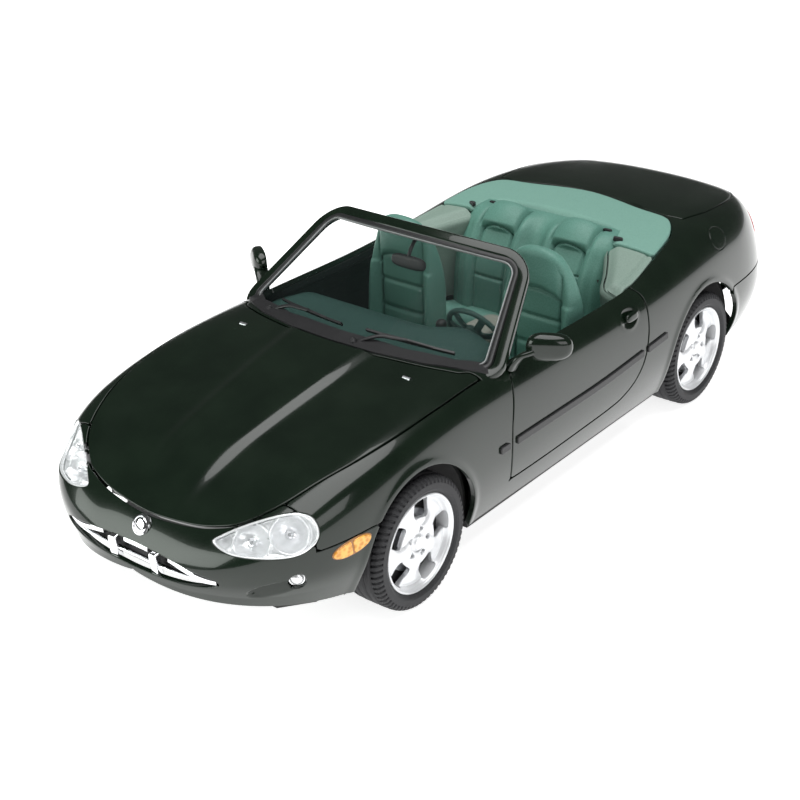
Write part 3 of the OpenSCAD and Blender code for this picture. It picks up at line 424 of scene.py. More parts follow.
def field_normals(place, y, v, ry, rv, flip=False):
    """Unit normals of place(y, v), from differences kept inside the ranges ry and rv."""
    dy, dv = (ry[1] - ry[0]) / 1500, (rv[1] - rv[0]) / 1500
    a = place(np.clip(y + dy, *ry), v) - place(np.clip(y - dy, *ry), v)
    b = place(y, np.clip(v + dv, *rv)) - place(y, np.clip(v - dv, *rv))
    n = np.cross(a, b) * (-1 if flip else 1)
    return n / np.maximum(np.linalg.norm(n, axis=-1, keepdims=True), 1e-12)


def bridge(ring, new, closed):
    """Quads between two rings of the same length."""
    m = len(ring)
    return [[ring[(k + 1) % m], ring[k], new[k], new[(k + 1) % m]]
            for k in range(m if closed else m - 1)]


def skin(name, y, v, place, material, inside=None, edge=0.28, depth=SKIN, back=True, flip=False,
         steps=4):
    """A curved sheet: place(y, v) where inside > 0, with rounded edges that roll over the rim, a
    wall, and an inner face depth below."""
    ry, rv = (y[0], y[-1]), (v[0], v[-1])
    if inside is None:
        yy, vv = np.meshgrid(y, v, indexing="ij")
        par = np.stack([yy.ravel(), vv.ravel()], -1)
        index = np.arange(yy.size).reshape(yy.shape)
        faces = np.stack([index[:-1, :-1], index[1:, :-1], index[1:, 1:], index[:-1, 1:]],
                         -1).reshape(-1, 4).tolist()
        rim = []
    else:
        par, faces, rim = clipped_grid(y, v, place, lambda p: inside(p) - edge)
    p = place(par[:, 0], par[:, 1])
    n = field_normals(place, par[:, 0], par[:, 1], ry, rv, flip)
    if flip:
        faces = [f[::-1] for f in faces]
        rim = [(b, a) for a, b in rim]
    points, normals, polys = [p], [n], [list(f) for f in faces]
    count = len(p)
    if back:
        points.append(p - depth * n)
        normals.append(-n)
        polys += [[len(p) + i for i in reversed(f)] for f in faces]
        count += len(p)
    if rim:
        out = np.zeros_like(p)
        at_rim = np.unique(np.array(rim))
        here = p[at_rim]
        value = inside(here)
        for k in range(3):
            q = here.copy()
            q[:, k] += 0.02
            out[at_rim, k] = (value - inside(q)) / 0.02
        out -= (out * n).sum(1, keepdims=True) * n
        out /= np.maximum(np.linalg.norm(out, axis=1, keepdims=True), 1e-9)
    for loop, closed in rim_loops(rim):
        loop = np.array(loop)
        m = len(loop)
        ring = loop
        for s in range(1, steps + 2):
            a = math.pi / 2 * min(s, steps) / steps
            drop = edge * (1 - math.cos(a)) if s <= steps else depth
            points.append(p[loop] + edge * math.sin(a) * out[loop] - drop * n[loop])
            normals.append(math.sin(a) * out[loop] + math.cos(a) * n[loop])
            new = np.arange(count, count + m)
            count += m
            polys += bridge(ring, new, closed)
            ring = new
        if back:
            polys += bridge(ring, len(p) + loop, closed)
    obj = mesh_object(name, np.concatenate(points), polys, np.concatenate(normals))
    obj.data.materials.append(material)
    return obj


def panel(name, y, v, inside, material, edge=0.28, depth=SKIN, lift=None):
    """A piece of the body surface. lift(p) raises it by that many millimetres."""
    def place(a, b):
        q = surface(a, b)
        if lift is None:
            return q
        height = lift(q) if callable(lift) else np.full(q.shape[:-1], lift)
        return q + height[..., None] * surface_normal(a, b)
    return skin(name, y, v, place, material, inside, edge, depth)


def fit(obj, body, slot_name, *replaced):
    """obj rides on a body and stands for the CAD nodes named; slot_name is not used."""
    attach(obj, body)
    if replaced:
        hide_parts(*replaced)
    return obj


def smooth_max(k, *f):
    """Largest of the fields, with the corners between them rounded by about k."""
    f = np.stack(np.broadcast_arrays(*f))
    m = f.max(0)
    return m + k * np.log(np.exp((f - m) / k).sum(0))


def smooth_min(k, *f):
    return -smooth_max(k, *[-g for g in f])


def bump_along(a, centre, width):
    """A smooth bump of height 1 about centre."""
    return np.exp(-((a - centre) / width) ** 2)


def smooth_step(a, low, high):
    t = np.clip((a - low) / (high - low), 0, 1)
    return t * t * (3 - 2 * t)


def outward(obj, merge=False):
    """Turns the faces outward, after joining points that share a place."""
    bm = bmesh.new()
    bm.from_mesh(obj.data)
    if merge:
        bmesh.ops.remove_doubles(bm, verts=bm.verts, dist=1e-6)
    bmesh.ops.recalc_face_normals(bm, faces=bm.faces)
    bm.to_mesh(obj.data)
    bm.free()


def ribbon(name, path, facing, section, material, closed=False):
    """A bar along path: section is a loop of (sideways, along facing) offsets."""
    path, facing = np.array(path, float), np.array(facing, float)
    facing = np.broadcast_to(facing, path.shape)
    ahead = np.roll(path, -1, 0) - np.roll(path, 1, 0)
    if not closed:
        ahead[0], ahead[-1] = path[1] - path[0], path[-1] - path[-2]
    ahead /= np.linalg.norm(ahead, axis=1, keepdims=True)
    side = np.cross(ahead, facing)
    side /= np.linalg.norm(side, axis=1, keepdims=True)
    up = np.cross(side, ahead)
    section = np.array(section, float)
    k = len(section)
    points = (path[:, None] + section[None, :, :1] * side[:, None]
              + section[None, :, 1:] * up[:, None]).reshape(-1, 3)
    n = len(path)
    polys = []
    for i in range(n if closed else n - 1):
        a, b = i * k, (i + 1) % n * k
        polys += [[a + j, a + (j + 1) % k, b + (j + 1) % k, b + j] for j in range(k)]
    if not closed:
        polys += [list(range(k))[::-1], [(n - 1) * k + j for j in range(k)]]
    obj = mesh_object(name, points, polys)
    outward(obj)
    mod = obj.modifiers.new("even", "WEIGHTED_NORMAL")
    mod.keep_sharp = True
    obj.data.set_sharp_from_angle(angle=math.radians(38))
    obj.data.materials.append(material)
    return obj


def round_section(width, height, power=2.6, steps=20):
    """A rounded-rectangle section as a superellipse loop."""
    t = np.arange(steps) / steps * 2 * math.pi
    return np.stack([width / 2 * rounded(np.cos(t), power), height / 2 * rounded(np.sin(t), power)], -1)


def tube(name, path, radius, material):
    """A round bar along a smooth curve through the points."""
    path = smooth_loop(path, closed=False, per=6)
    facing = np.eye(3)[np.argmin(np.abs(path[-1] - path[0]))]
    return ribbon(name, path, facing, round_section(2 * radius, 2 * radius, 2, 14), material)


def lathe(name, profile, material, centre=(0, 0, 0), axis=(0, 0, 1), steps=64):
    """profile is a list of (radius, height) along axis, turned about it."""
    axis = Vector(axis).normalized()
    turn = np.array(Vector((0, 0, 1)).rotation_difference(axis).to_matrix())
    prof = np.array(profile, float)
    t = np.arange(steps) / steps * 2 * math.pi
    ring = np.stack([np.cos(t), np.sin(t)], -1)
    points = np.concatenate([
        np.concatenate([ring * r, np.full((steps, 1), h)], 1) for r, h in prof]) @ turn.T + centre
    polys = []
    for i in range(len(prof) - 1):
        for j in range(steps):
            k = (j + 1) % steps
            polys.append([i * steps + j, i * steps + k, (i + 1) * steps + k, (i + 1) * steps + j])
    shut = np.allclose(prof[0], prof[-1])
    if prof[0][0] > 1e-6 and not shut:
        polys.append(list(range(steps))[::-1])
    if prof[-1][0] > 1e-6 and not shut:
        polys.append([(len(prof) - 1) * steps + j for j in range(steps)])
    obj = mesh_object(name, points, polys)
    outward(obj, merge=True)
    obj.data.set_sharp_from_angle(angle=math.radians(35))
    obj.data.materials.append(material)
    return obj


def rounded(a, power):
    """A sine or cosine, squared off so that circles become rounded rectangles."""
    return np.sign(a) * np.abs(a) ** (2 / power)


def turned(tilt):
    """A rotation matrix from degrees about X, then Y, then Z."""
    return np.array(Matrix.Rotation(math.radians(tilt[2]), 3, "Z")
                    @ Matrix.Rotation(math.radians(tilt[1]), 3, "Y")
                    @ Matrix.Rotation(math.radians(tilt[0]), 3, "X"))


def super_box(a, b, size, power):
    """Points of a superellipsoid of that size about the origin."""
    ca, sa = rounded(np.cos(a), power), rounded(np.sin(a), power)
    cb, sb = rounded(np.cos(b), power), rounded(np.sin(b), power)
    return np.stack([ca * cb, ca * sb, sa], -1) * (np.array(size, float) / 2)


def padded_box(name, centre, size, material, tilt=(0, 0, 0), power=5):
    """A box with generously rounded edges: a superellipsoid, tilted about its centre in degrees."""
    def place(a, b):
        return super_box(a, b, size, power) @ turned(tilt).T + np.array(centre)
    a = np.linspace(-math.pi / 2 + 1e-4, math.pi / 2 - 1e-4, 33)
    b = np.linspace(0, 2 * math.pi, 49)
    return skin(name, a, b, place, material, back=False, flip=True)


# ---------------------------------------------------------------- materials
def material(name, color, rough, metal=0.0, coat=0.0, coat_rough=0.03, spec=0.5, ior=1.45):
    """A Principled material and its node tree's main parts."""
    mat = bpy.data.materials.new(name)
    mat.use_nodes = True
    shader = mat.node_tree.nodes["Principled BSDF"]
    shader.inputs["Base Color"].default_value = (*color, 1)
    shader.inputs["Roughness"].default_value = rough
    shader.inputs["Metallic"].default_value = metal
    shader.inputs["Coat Weight"].default_value = coat
    shader.inputs["Coat Roughness"].default_value = coat_rough
    shader.inputs["Specular IOR Level"].default_value = spec
    shader.inputs["IOR"].default_value = ior
    return mat


def link(mat, a, out, b, inp):
    mat.node_tree.links.new(a.outputs[out], b.inputs[inp])


def add_node(mat, kind, **values):
    node = mat.node_tree.nodes.new(kind)
    for key, value in values.items():
        setattr(node, key, value)
    return node


def grain(mat, scale, strength, distance, detail=4.0, kind="noise", rough_span=None,
          color_span=None):
    """Surface grain in object space: bump, and optionally a spread of roughness and colour."""
    shader = mat.node_tree.nodes["Principled BSDF"]
    where = add_node(mat, "ShaderNodeTexCoord")
    if kind == "noise":
        tex = add_node(mat, "ShaderNodeTexNoise")
        tex.inputs["Detail"].default_value = detail
        out = "Fac"
    else:
        tex = add_node(mat, "ShaderNodeTexVoronoi")
        out = "Distance"
    tex.inputs["Scale"].default_value = scale
    link(mat, where, "Object", tex, "Vector")
    if strength > 0:
        bump = add_node(mat, "ShaderNodeBump")
        bump.inputs["Strength"].default_value = strength
        bump.inputs["Distance"].default_value = distance
        link(mat, tex, out, bump, "Height")
        link(mat, bump, "Normal", shader, "Normal")
    if rough_span:
        span = add_node(mat, "ShaderNodeMapRange")
        span.inputs["To Min"].default_value, span.inputs["To Max"].default_value = rough_span
        link(mat, tex, out, span, "Value")
        link(mat, span, "Result", shader, "Roughness")
    if color_span:
        ramp = add_node(mat, "ShaderNodeValToRGB")
        ramp.color_ramp.elements[0].position = 0.3
        ramp.color_ramp.elements[1].position = 0.7
        ramp.color_ramp.elements[0].color = (*color_span[0], 1)
        ramp.color_ramp.elements[1].color = (*color_span[1], 1)
        link(mat, tex, out, ramp, "Fac")
        link(mat, ramp, "Color", shader, "Base Color")
    return mat


PAINT = grain(material("body_paint", (0.005, 0.011, 0.006), 0.2, coat=0.45, coat_rough=0.03, spec=0.3),
              90, 0.012, 0.0004, 2, rough_span=(0.17, 0.24),
              color_span=((0.004, 0.009, 0.005), (0.006, 0.0125, 0.007)))
LEATHER = grain(material("interior_green", (0.10, 0.235, 0.19), 0.5, spec=0.4), 2600, 0.22, 0.00012,
                6, kind="voronoi", rough_span=(0.42, 0.56),
                color_span=((0.107, 0.245, 0.2), (0.09, 0.215, 0.172)))
DECK = grain(material("deck_green", (0.165, 0.32, 0.265), 0.6, spec=0.35), 3400, 0.3, 0.0001, 6,
             kind="voronoi", color_span=((0.175, 0.33, 0.275), (0.15, 0.295, 0.245)))
CARPET = grain(material("carpet", (0.07, 0.075, 0.065), 0.95, spec=0.2), 5200, 0.6, 0.0002, 8,
               color_span=((0.055, 0.06, 0.05), (0.085, 0.09, 0.078)))
TUNNEL = grain(material("tunnel_grey", (0.2, 0.21, 0.18), 0.9, spec=0.25), 4200, 0.4, 0.0002, 8,
               color_span=((0.17, 0.18, 0.155), (0.23, 0.24, 0.205)))
BLACK = grain(material("black_trim", (0.014, 0.014, 0.015), 0.42), 2400, 0.12, 0.0001, 5,
              rough_span=(0.34, 0.52), color_span=((0.011, 0.011, 0.012), (0.018, 0.018, 0.019)))
BASE_BLACK = grain(material("black_base", (0.012, 0.012, 0.012), 0.6), 1500, 0.25, 0.0001, 5,
                   rough_span=(0.5, 0.7), color_span=((0.010, 0.010, 0.010), (0.016, 0.016, 0.016)))
CHROME = grain(material("chrome_plating", (0.87, 0.88, 0.9), 0.07, metal=1.0), 300, 0.03, 0.0001, 2,
               rough_span=(0.05, 0.11), color_span=((0.85, 0.86, 0.88), (0.9, 0.9, 0.92)))
SILVER = grain(material("wheel_silver", (0.74, 0.75, 0.77), 0.3, metal=0.35, coat=0.5), 4200, 0.05,
               0.00005, 3, rough_span=(0.26, 0.36), color_span=((0.7, 0.71, 0.73), (0.78, 0.79, 0.8)))
STEEL = grain(material("steel", (0.5, 0.51, 0.53), 0.34, metal=1.0), 900, 0.1, 0.0001, 6,
              rough_span=(0.28, 0.42), color_span=((0.46, 0.47, 0.49), (0.55, 0.56, 0.58)))
RUBBER = grain(material("tyre_rubber", (0.025, 0.025, 0.027), 0.62, spec=0.35), 1800, 0.14, 0.0001,
               6, rough_span=(0.52, 0.7), color_span=((0.02, 0.02, 0.022), (0.032, 0.032, 0.034)))
MIRROR = grain(material("mirror_film", (0.8, 0.82, 0.84), 0.03, metal=1.0), 200, 0.01, 0.0001, 1,
               rough_span=(0.02, 0.06), color_span=((0.78, 0.8, 0.82), (0.83, 0.84, 0.86)))
ENGINE_GREY = grain(material("engine_grey", (0.22, 0.23, 0.24), 0.5, metal=0.3), 1600, 0.3, 0.0001,
                    5, rough_span=(0.4, 0.6), color_span=((0.18, 0.19, 0.2), (0.27, 0.28, 0.29)))
RED = grain(material("red_lens", (0.42, 0.012, 0.012), 0.12, coat=0.6), 700, 0.3, 0.0002, 2,
            kind="voronoi", color_span=((0.36, 0.01, 0.01), (0.5, 0.02, 0.018)))
AMBER = grain(material("amber_lens", (0.78, 0.36, 0.045), 0.16, coat=0.6), 900, 0.3, 0.0002, 2,
              kind="voronoi", color_span=((0.62, 0.25, 0.02), (0.86, 0.45, 0.08)))
AMBER_DARK = grain(material("amber_base", (0.30, 0.12, 0.02), 0.3, coat=0.4), 700, 0.1, 0.0002, 2,
                   color_span=((0.26, 0.1, 0.015), (0.34, 0.14, 0.03)))
BRIGHT = grain(material("lamp_silver", (0.82, 0.83, 0.84), 0.22, metal=0.55), 500, 0.05, 0.0001, 3,
               rough_span=(0.18, 0.28), color_span=((0.78, 0.79, 0.8), (0.88, 0.89, 0.9)))
SEAL_GREY = grain(material("seal_grey", (0.22, 0.23, 0.23), 0.4, metal=0.3), 1500, 0.08, 0.0001, 3,
                  rough_span=(0.32, 0.46), color_span=((0.2, 0.21, 0.21), (0.25, 0.26, 0.26)))
LEDGE = grain(material("ledge_green", (0.21, 0.29, 0.245), 0.55, spec=0.4), 3000, 0.2, 0.0001, 6,
              kind="voronoi", color_span=((0.22, 0.3, 0.255), (0.19, 0.265, 0.225)))
# The interior green darkened with painted shade, for the dash and the steering wheel that sit in the shade
# under the windscreen
INTERIOR_PAINTED_SHADE = grain(material("dash_green", (0.028, 0.072, 0.062), 0.55, spec=0.4), 2800, 0.22, 0.0001, 6,
             kind="voronoi", color_span=((0.03, 0.077, 0.066), (0.024, 0.065, 0.056)))
PLATE = grain(material("plate_white", (0.7, 0.7, 0.68), 0.4), 1200, 0.05, 0.0001, 3,
              color_span=((0.66, 0.66, 0.64), (0.74, 0.74, 0.72)))


def clear(name, color, rough, alpha, spec=0.5):
    """Clear moulded plastic: mostly transparent, with a gloss that rises at grazing angles."""
    mat = material(name, color, rough, spec=spec, ior=1.45)
    nodes = mat.node_tree.nodes
    shader = nodes["Principled BSDF"]
    shader.inputs["Alpha"].default_value = alpha
    return grain(mat, 60, 0.01, 0.0002, 1, rough_span=(rough, rough + 0.03))


GLASS = clear("clear_glazing", (0.02, 0.03, 0.028), 0.03, 0.1, 0.12)
LENS = clear("lamp_lens", (0.85, 0.88, 0.9), 0.04, 0.12)

# ---------------------------------------------------------------- body pieces
ends = HALF - 0.02 * np.array([1, 0.3, 0.08, 0.02, 0.004, 0.0005, 5e-5, 5e-6])
Y_ALL = stations(-HALF + 0.02, HALF - 0.02, 0.8)
Y_ALL = np.concatenate([-ends[:0:-1], Y_ALL, ends[1:]])
V_STEP = 110
V_ALL = np.linspace(0, 2, 2 * V_STEP + 1)


def between(values, low, high):
    return values[(values >= low) & (values <= high)]


def hood_lift(p):
    """The raised middle of the hood, with a soft crease along each side."""
    half = 8.6 + (p[..., 1] + 122) * 0.07
    x = np.abs(p[..., 0])
    rise = 1 - smooth_step(x, half - 2.6, half + 2.6)
    ridge = bump_along(x, half - 1.2, 2.4)
    fade = smooth_step(p[..., 1], -126, -104)
    return (0.55 * rise + 0.25 * ridge) * fade


def shell_lift(p):
    """The lip round the wheel arches and the hollow beside each fog lamp."""
    x = np.abs(p[..., 0])
    total = np.zeros(p.shape[:-1])
    for y, r in ((FRONT_Y, 22.2), (REAR_Y, 22.8)):
        d = np.hypot(p[..., 1] - y, np.maximum(p[..., 2] - 17.6, 0)) - r
        total += 0.3 * bump_along(d, 0.5, 1.3) * (x > 30)
    b = face_parts(p, SCOOP)[1]
    inside = in_oval(p, SCOOP)
    total -= 1.7 * smooth_step(inside, 0, 1.3) * smooth_step(b, -2.6, 1.6)
    return total


def above_bumper(p):
    """Height over the line that parts the front bumper from the fender, behind the headlamp."""
    line = 32.4 + 0.045 * (p[..., 1] + 104)
    return p[..., 2] - line


def in_bumper(p):
    """The front bumper moulding: under its line behind the lamps, and round the whole nose."""
    behind = np.minimum(-above_bumper(p), -p[..., 1] - 88)
    nose = np.minimum(-112.5 - p[..., 1], 50 - p[..., 2])
    return np.maximum(behind, nose)


def in_rear_bumper(p):
    """The rear bumper moulding: under its line, behind the rear wheels."""
    line = 33.5 - 0.02 * (p[..., 1] - 100)
    return np.minimum(line - p[..., 2], p[..., 1] - 84)


def shell_open(p):
    """Everything that is cut out of the body's skin."""
    return np.minimum.reduce([
        -in_hood(p) - GAP, -in_trunk(p) - GAP, -in_cabin(p), -in_door(p) - GAP,
        -in_arch(p, FRONT_Y, 22.2, 17.6), -in_arch(p, REAR_Y, 22.8, 17.6),
        -in_lamp(p, 0.2), -in_oval(p, TAIL_LAMP, 0.2), -in_mouth(p),
        -in_oval(p, FOG, 0.15), -in_oval(p, FLAP, 0.16)])


SEAM = 0.13


def shell_inside(p):
    return np.minimum.reduce([shell_open(p), -in_bumper(p) - SEAM, -in_rear_bumper(p) - SEAM])


def bumper_inside(p):
    return np.minimum(shell_open(p), in_bumper(p) - SEAM)


def rear_bumper_inside(p):
    return np.minimum(shell_open(p), in_rear_bumper(p) - SEAM)


V_TOP = between(V_ALL, 0.3, 1.7)
body = panel("body_shell_skin", between(Y_ALL, -127, HALF), V_ALL, shell_inside, PAINT, edge=0.22,
             lift=shell_lift)
fit(body, "car", "body_paint", "body_shell")
fit(panel("front_bumper_skin", between(Y_ALL, -HALF, -86), V_ALL, bumper_inside, PAINT, edge=0.22,
          lift=shell_lift), "car", "body_paint")
fit(panel("rear_bumper_skin", between(Y_ALL, 82, HALF), V_ALL, rear_bumper_inside, PAINT, edge=0.22,
          lift=shell_lift), "car", "body_paint")
fit(panel("hood_skin", between(Y_ALL, -130, -38), V_TOP, in_hood, PAINT, lift=hood_lift),
    "hood", "body_paint", "hood")
fit(panel("trunk_lid_skin", between(Y_ALL, 60, 126), V_TOP, in_trunk, PAINT),
    "trunk", "body_paint", "trunk_lid")
for side in (1, -1):
    fit(panel("fuel_flap" if side > 0 else "blank_flap", between(Y_ALL, 72, 90),
              between(V_ALL, *((0.3, 0.9) if side > 0 else (1.1, 1.7))),
              lambda p: in_oval(p, FLAP), PAINT, edge=0.2), "car", "body_paint")


def door_inside(p):
    return np.minimum(in_door(p), -in_cabin(p))


def door_lift(p):
    """A shallow dish round the handle."""
    inside = in_oval(p, HANDLE)
    return -0.42 * smooth_step(inside, -0.2, 1.9) + 0.1 * bump_along(inside, -0.4, 0.6)


STRIP_Z = 31.0


def in_strip(p, y0, y1):
    """A rub strip along the side, a little higher towards the tail."""
    line = STRIP_Z + 3.2 * smooth_step(p[..., 1], -5, 62)
    across = 1.15 - np.abs(p[..., 2] - line)
    return np.minimum(across, smooth_min(0.3, p[..., 1] - y0, y1 - p[..., 1]))


for side, low, high in (("left", 0, 0.8), ("right", 1.2, 2)):
    v = between(V_ALL, low, high)
    body_name = f"door_{side}"
    fit(panel(f"door_{side}_skin", between(Y_ALL, -45, 45), v, door_inside, PAINT, lift=door_lift),
        body_name, "body_paint", f"door_{side}")
    fine = np.linspace(v[0], v[-1], 4 * len(v))
    fit(panel(f"rub_strip_{side}_door_skin", np.arange(-39, 29, 0.7), fine,
              lambda p: in_strip(p, -37.4, 27.2), BLACK, edge=0.35, depth=0.7, lift=0.62),
        body_name, "black_trim", f"rub_strip_door_{side}")
    rear = panel(f"rub_strip_{side}_body_skin", np.arange(26, 46, 0.7), fine,
                 lambda p: in_strip(p, 29.4, 40.6), BLACK, edge=0.35, depth=0.7, lift=0.62)
    front = panel(f"rub_strip_{side}_front", np.arange(-50, -36, 0.7), fine,
                  lambda p: in_strip(p, -45, -40.6), BLACK, edge=0.35, depth=0.7, lift=0.62)
    fit(rear, "car", "black_trim", "rub_strips_body")
    fit(front, "car", "black_trim")
    sign = 1 if side == "left" else -1
    handle = padded_box(f"door_handle_{side}_flap", (sign * 48.35, 22.4, 45.35), (1.5, 6.2, 2.6),
                        PAINT, tilt=(0, sign * -16, 0), power=3)
    fit(handle, body_name, "body_paint", f"door_handle_{side}")


# ---------------------------------------------------------------- lamps
lamp_height = face_height(LAMP)


def lamp_place(side, drop):
    """Points over the headlamp: t from the middle out to the rim, and along the rim."""
    loop = LAMP_LOOP
    middle = np.array([0.4, 0.0])

    def place(t, k):
        k = np.asarray(k, float) % len(loop)
        i = np.floor(k).astype(int) % len(loop)
        f = (k - np.floor(k))[..., None]
        rim = loop[i] * (1 - f) + loop[(i + 1) % len(loop)] * f
        ab = middle + np.asarray(t)[..., None] * (rim - middle)
        n = lamp_height(ab[..., 0], ab[..., 1]) - drop(t, ab[..., 0], ab[..., 1])
        return on_face(LAMP, ab[..., 0], ab[..., 1], n, side)
    return place


BOWLS = [((-3.6, -0.4), 4.3, 3.0), ((5.6, 0.0), 4.4, 3.2), ((-10.2, 1.1), 2.0, 1.2)]


def reflector_drop(t, a, b):
    """How far the reflector lies below the lens: a shallow dish with two bowls and a small one."""
    drop = 1.1 + 1.7 * (1 - np.clip(t, 0, 1) ** 8)
    for (ca, cb), r, deep in BOWLS:
        d = np.hypot(a - ca, b - cb) / r
        drop = drop + deep * np.clip(1 - d**2, 0, 1) - 0.5 * bump_along(d, 1.06, 0.09)
    return drop


for side, word in SIDES:
    rim_steps = np.linspace(0, len(LAMP_LOOP), 121)
    lens = panel(f"headlamp_lens_{word}", between(Y_ALL, -130, -100),
                 between(V_ALL, *((0.2, 0.95) if side > 0 else (1.05, 1.8))),
                 lambda p: in_lamp(p, -0.1), LENS, edge=0.4, depth=0.8, lift=0.12)
    fit(lens, "car", "lamp_lens", *(["headlamp_lenses"] if side > 0 else []))
    dish = skin(f"headlamp_reflector_{word}", np.linspace(0.02, 0.975, 46), rim_steps,
                lamp_place(side, reflector_drop), BRIGHT, depth=0.5, back=False, flip=side < 0)
    fit(dish, "car", "chrome_plating", *(["headlamp_reflectors"] if side > 0 else []))
    bezel = ribbon(f"headlamp_bezel_{word}",
                   lamp_place(side, lambda t, a, b: 0.75)(np.full(120, 0.985), rim_steps[:-1]),
                   lamp_place(side, lambda t, a, b: 0.75)(np.full(120, 0.985), rim_steps[:-1])
                   - np.array([side * 33.1, -118.2, 34.6])
                   + 12 * np.array([side * 0.53, -0.65, 0.54]),
                   round_section(0.5, 0.9, 3, 10), BRIGHT, closed=True)
    fit(bezel, "car", "chrome_plating")
    out = np.cross(LAMP["across"], LAMP["up"]) * [side, 1, 1]
    for k, ((ca, cb), r, deep) in enumerate(BOWLS[:2]):
        n = lamp_height(np.array(ca), np.array(cb)) - 2.8 - deep
        seat = on_face(LAMP, ca, cb, n, side)
        bulb = lathe(f"headlamp_bulb_{word}_{k}", [(0, 3.3), (0.5, 3.2), (0.85, 2.8), (0.95, 2.2),
                     (0.9, 0.6), (1.3, 0.4), (1.3, 0)], CHROME, seat, out, 28)
        fit(bulb, "car", "chrome_plating")

for side, word in SIDES:
    v = between(V_ALL, *((0.1, 0.95) if side > 0 else (1.05, 1.9)))
    fit(panel(f"tail_lamp_{word}", between(Y_ALL, 108, HALF), v, lambda p: in_oval(p, TAIL_LAMP, -0.1),
              RED, edge=0.5, depth=1.2, lift=0.25), "car", "red_lens",
        *(["rear_trim"] if side > 0 else []))
    fit(panel(f"side_marker_{word}", np.arange(-112, -94, 0.35), np.linspace(v[0], v[-1], 3 * len(v)),
              lambda p: smooth_max(0.12, np.minimum(in_oval(p, MARKER), face_parts(p, MARKER)[0] - 0.25),
                                   np.minimum(in_oval(p, MARKER), -0.25 - face_parts(p, MARKER)[0])),
              AMBER, edge=0.3, depth=0.8, lift=0.42), "car", "lamp_lens",
        *(["front_trim"] if side > 0 else []))
    fit(panel(f"side_marker_base_{word}", np.arange(-112, -94, 0.35), np.linspace(v[0], v[-1], 3 * len(v)),
              lambda p: in_oval(p, MARKER, 0.35), AMBER_DARK, edge=0.15, depth=0.5, lift=0.16),
        "car", "lamp_lens")
    centre = np.array(FOG["centre"]) * [side, 1, 1]
    out = np.array([0.66, -0.72, -0.05]) * [side, 1, 1]
    fit(lathe(f"fog_lamp_{word}", [(0, 1.15), (0.9, 1.0), (1.5, 0.6), (1.75, 0.2), (2.0, 0.3), (2.1, 0.1),
              (2.1, -1.6), (0, -1.6)], BRIGHT, centre - 0.55 * out, out, 40), "car", "lamp_lens")
# ---------------------------------------------------------------- grille, badge and front trim
def fit_end(stations_y, low_v, scale, keep):
    """The nose's or the tail's surface as a polynomial: y at (x, z), scaled by x and z."""
    (x_scale, z_mid, z_scale) = scale
    yy, vv = np.meshgrid(stations_y, np.linspace(low_v, 1, 160), indexing="ij")
    p = surface(yy, vv)
    p = p[keep(p[..., 0], p[..., 1], p[..., 2])]
    a, b = p[:, 0] / x_scale, (p[:, 2] - z_mid) / z_scale
    terms = [(i, j) for i in (0, 2, 4, 6) for j in range(7) if i / 2 + j < 8]
    w = np.linalg.lstsq(np.stack([a**i * b**j for i, j in terms], -1), p[:, 1], rcond=None)[0]

    def end_y(x, z):
        a, b = np.abs(x) / x_scale, (z - z_mid) / z_scale
        return sum(c * a**i * b**j for c, (i, j) in zip(w, terms))
    return end_y


# Where the nose's surface is at (x, z)
front_y = fit_end(np.linspace(-HALF + 0.01, -116, 140), 0.05, (32, 25, 10),
                  lambda x, y, z: (x < 32) & (z > 16) & (z < 35) & (y < -120))
MOUTH_Z = (MOUTH_LOW + MOUTH_HIGH) / 2


def mouth_place(drop):
    def place(x, z):
        return np.stack([x, front_y(x, z) + drop, z + 0 * x], -1)
    return place


recess = skin("grille_recess", np.linspace(-27.6, 27.6, 90),
              np.linspace(MOUTH_LOW - 0.6, MOUTH_HIGH + 0.6, 20), mouth_place(3.6), BLACK,
              inside=lambda p: in_mouth(p, 0.5), edge=0.1, depth=0.8)
fit(recess, "car", "black_trim", "grille_insert")
BAR_Z, UPRIGHT_Z = 23.8, 23.6
x = np.linspace(-25.2, 25.2, 61)
path = np.stack([x, front_y(x, BAR_Z + 0 * x) + 1.4, BAR_Z + 0.1 * (np.abs(x) / 25) ** 2], -1)
bar = ribbon("grille_bar", path, (0, 0, 1), round_section(1.4, 0.95, 3), CHROME)
fit(bar, "car", "chrome_plating", "grille_chrome")


def blade(name, x0, x1, taper):
    """A length of the chrome strip under the mouth's upper edge, pinched towards its outer tip."""
    t = np.linspace(0, 1, 40)
    x = x0 + (x1 - x0) * t
    z = MOUTH_Z + 2.3 - 2.1 * smooth_step(np.abs(x), 9, 26.5)
    path = np.stack([x, front_y(x, z) + 1.0, z], -1)
    obj = ribbon(name, path, (0, 0, 1), round_section(1.5, 1.5, 3), CHROME)
    size = 1 - taper * smooth_step(t, 0.55, 1)
    co = np.array([v.co for v in obj.data.vertices]).reshape(len(path), -1, 3)
    mid = path[:, None] * MM
    co = mid + (co - mid) * np.stack([size, size, size * 1.15], -1)[:, None]
    obj.data.vertices.foreach_set("co", co.ravel())
    obj.data.update()
    return fit(obj, "car", "chrome_plating")


blade("grille_blade_left", 11.5, 25.4, 0.45)
blade("grille_blade_right", -11.5, -25.4, 0.45)
blade("grille_blade_centre", -4.2, 4.2, 0.0)
for side, word in SIDES:
    at = (side * 7.2, front_y(7.2, UPRIGHT_Z) + 1.1, UPRIGHT_Z)
    fit(padded_box(f"grille_upright_{word}", at, (2.7, 2.0, 7.4), CHROME, tilt=(6, 0, side * -4), power=7),
        "car", "chrome_plating")
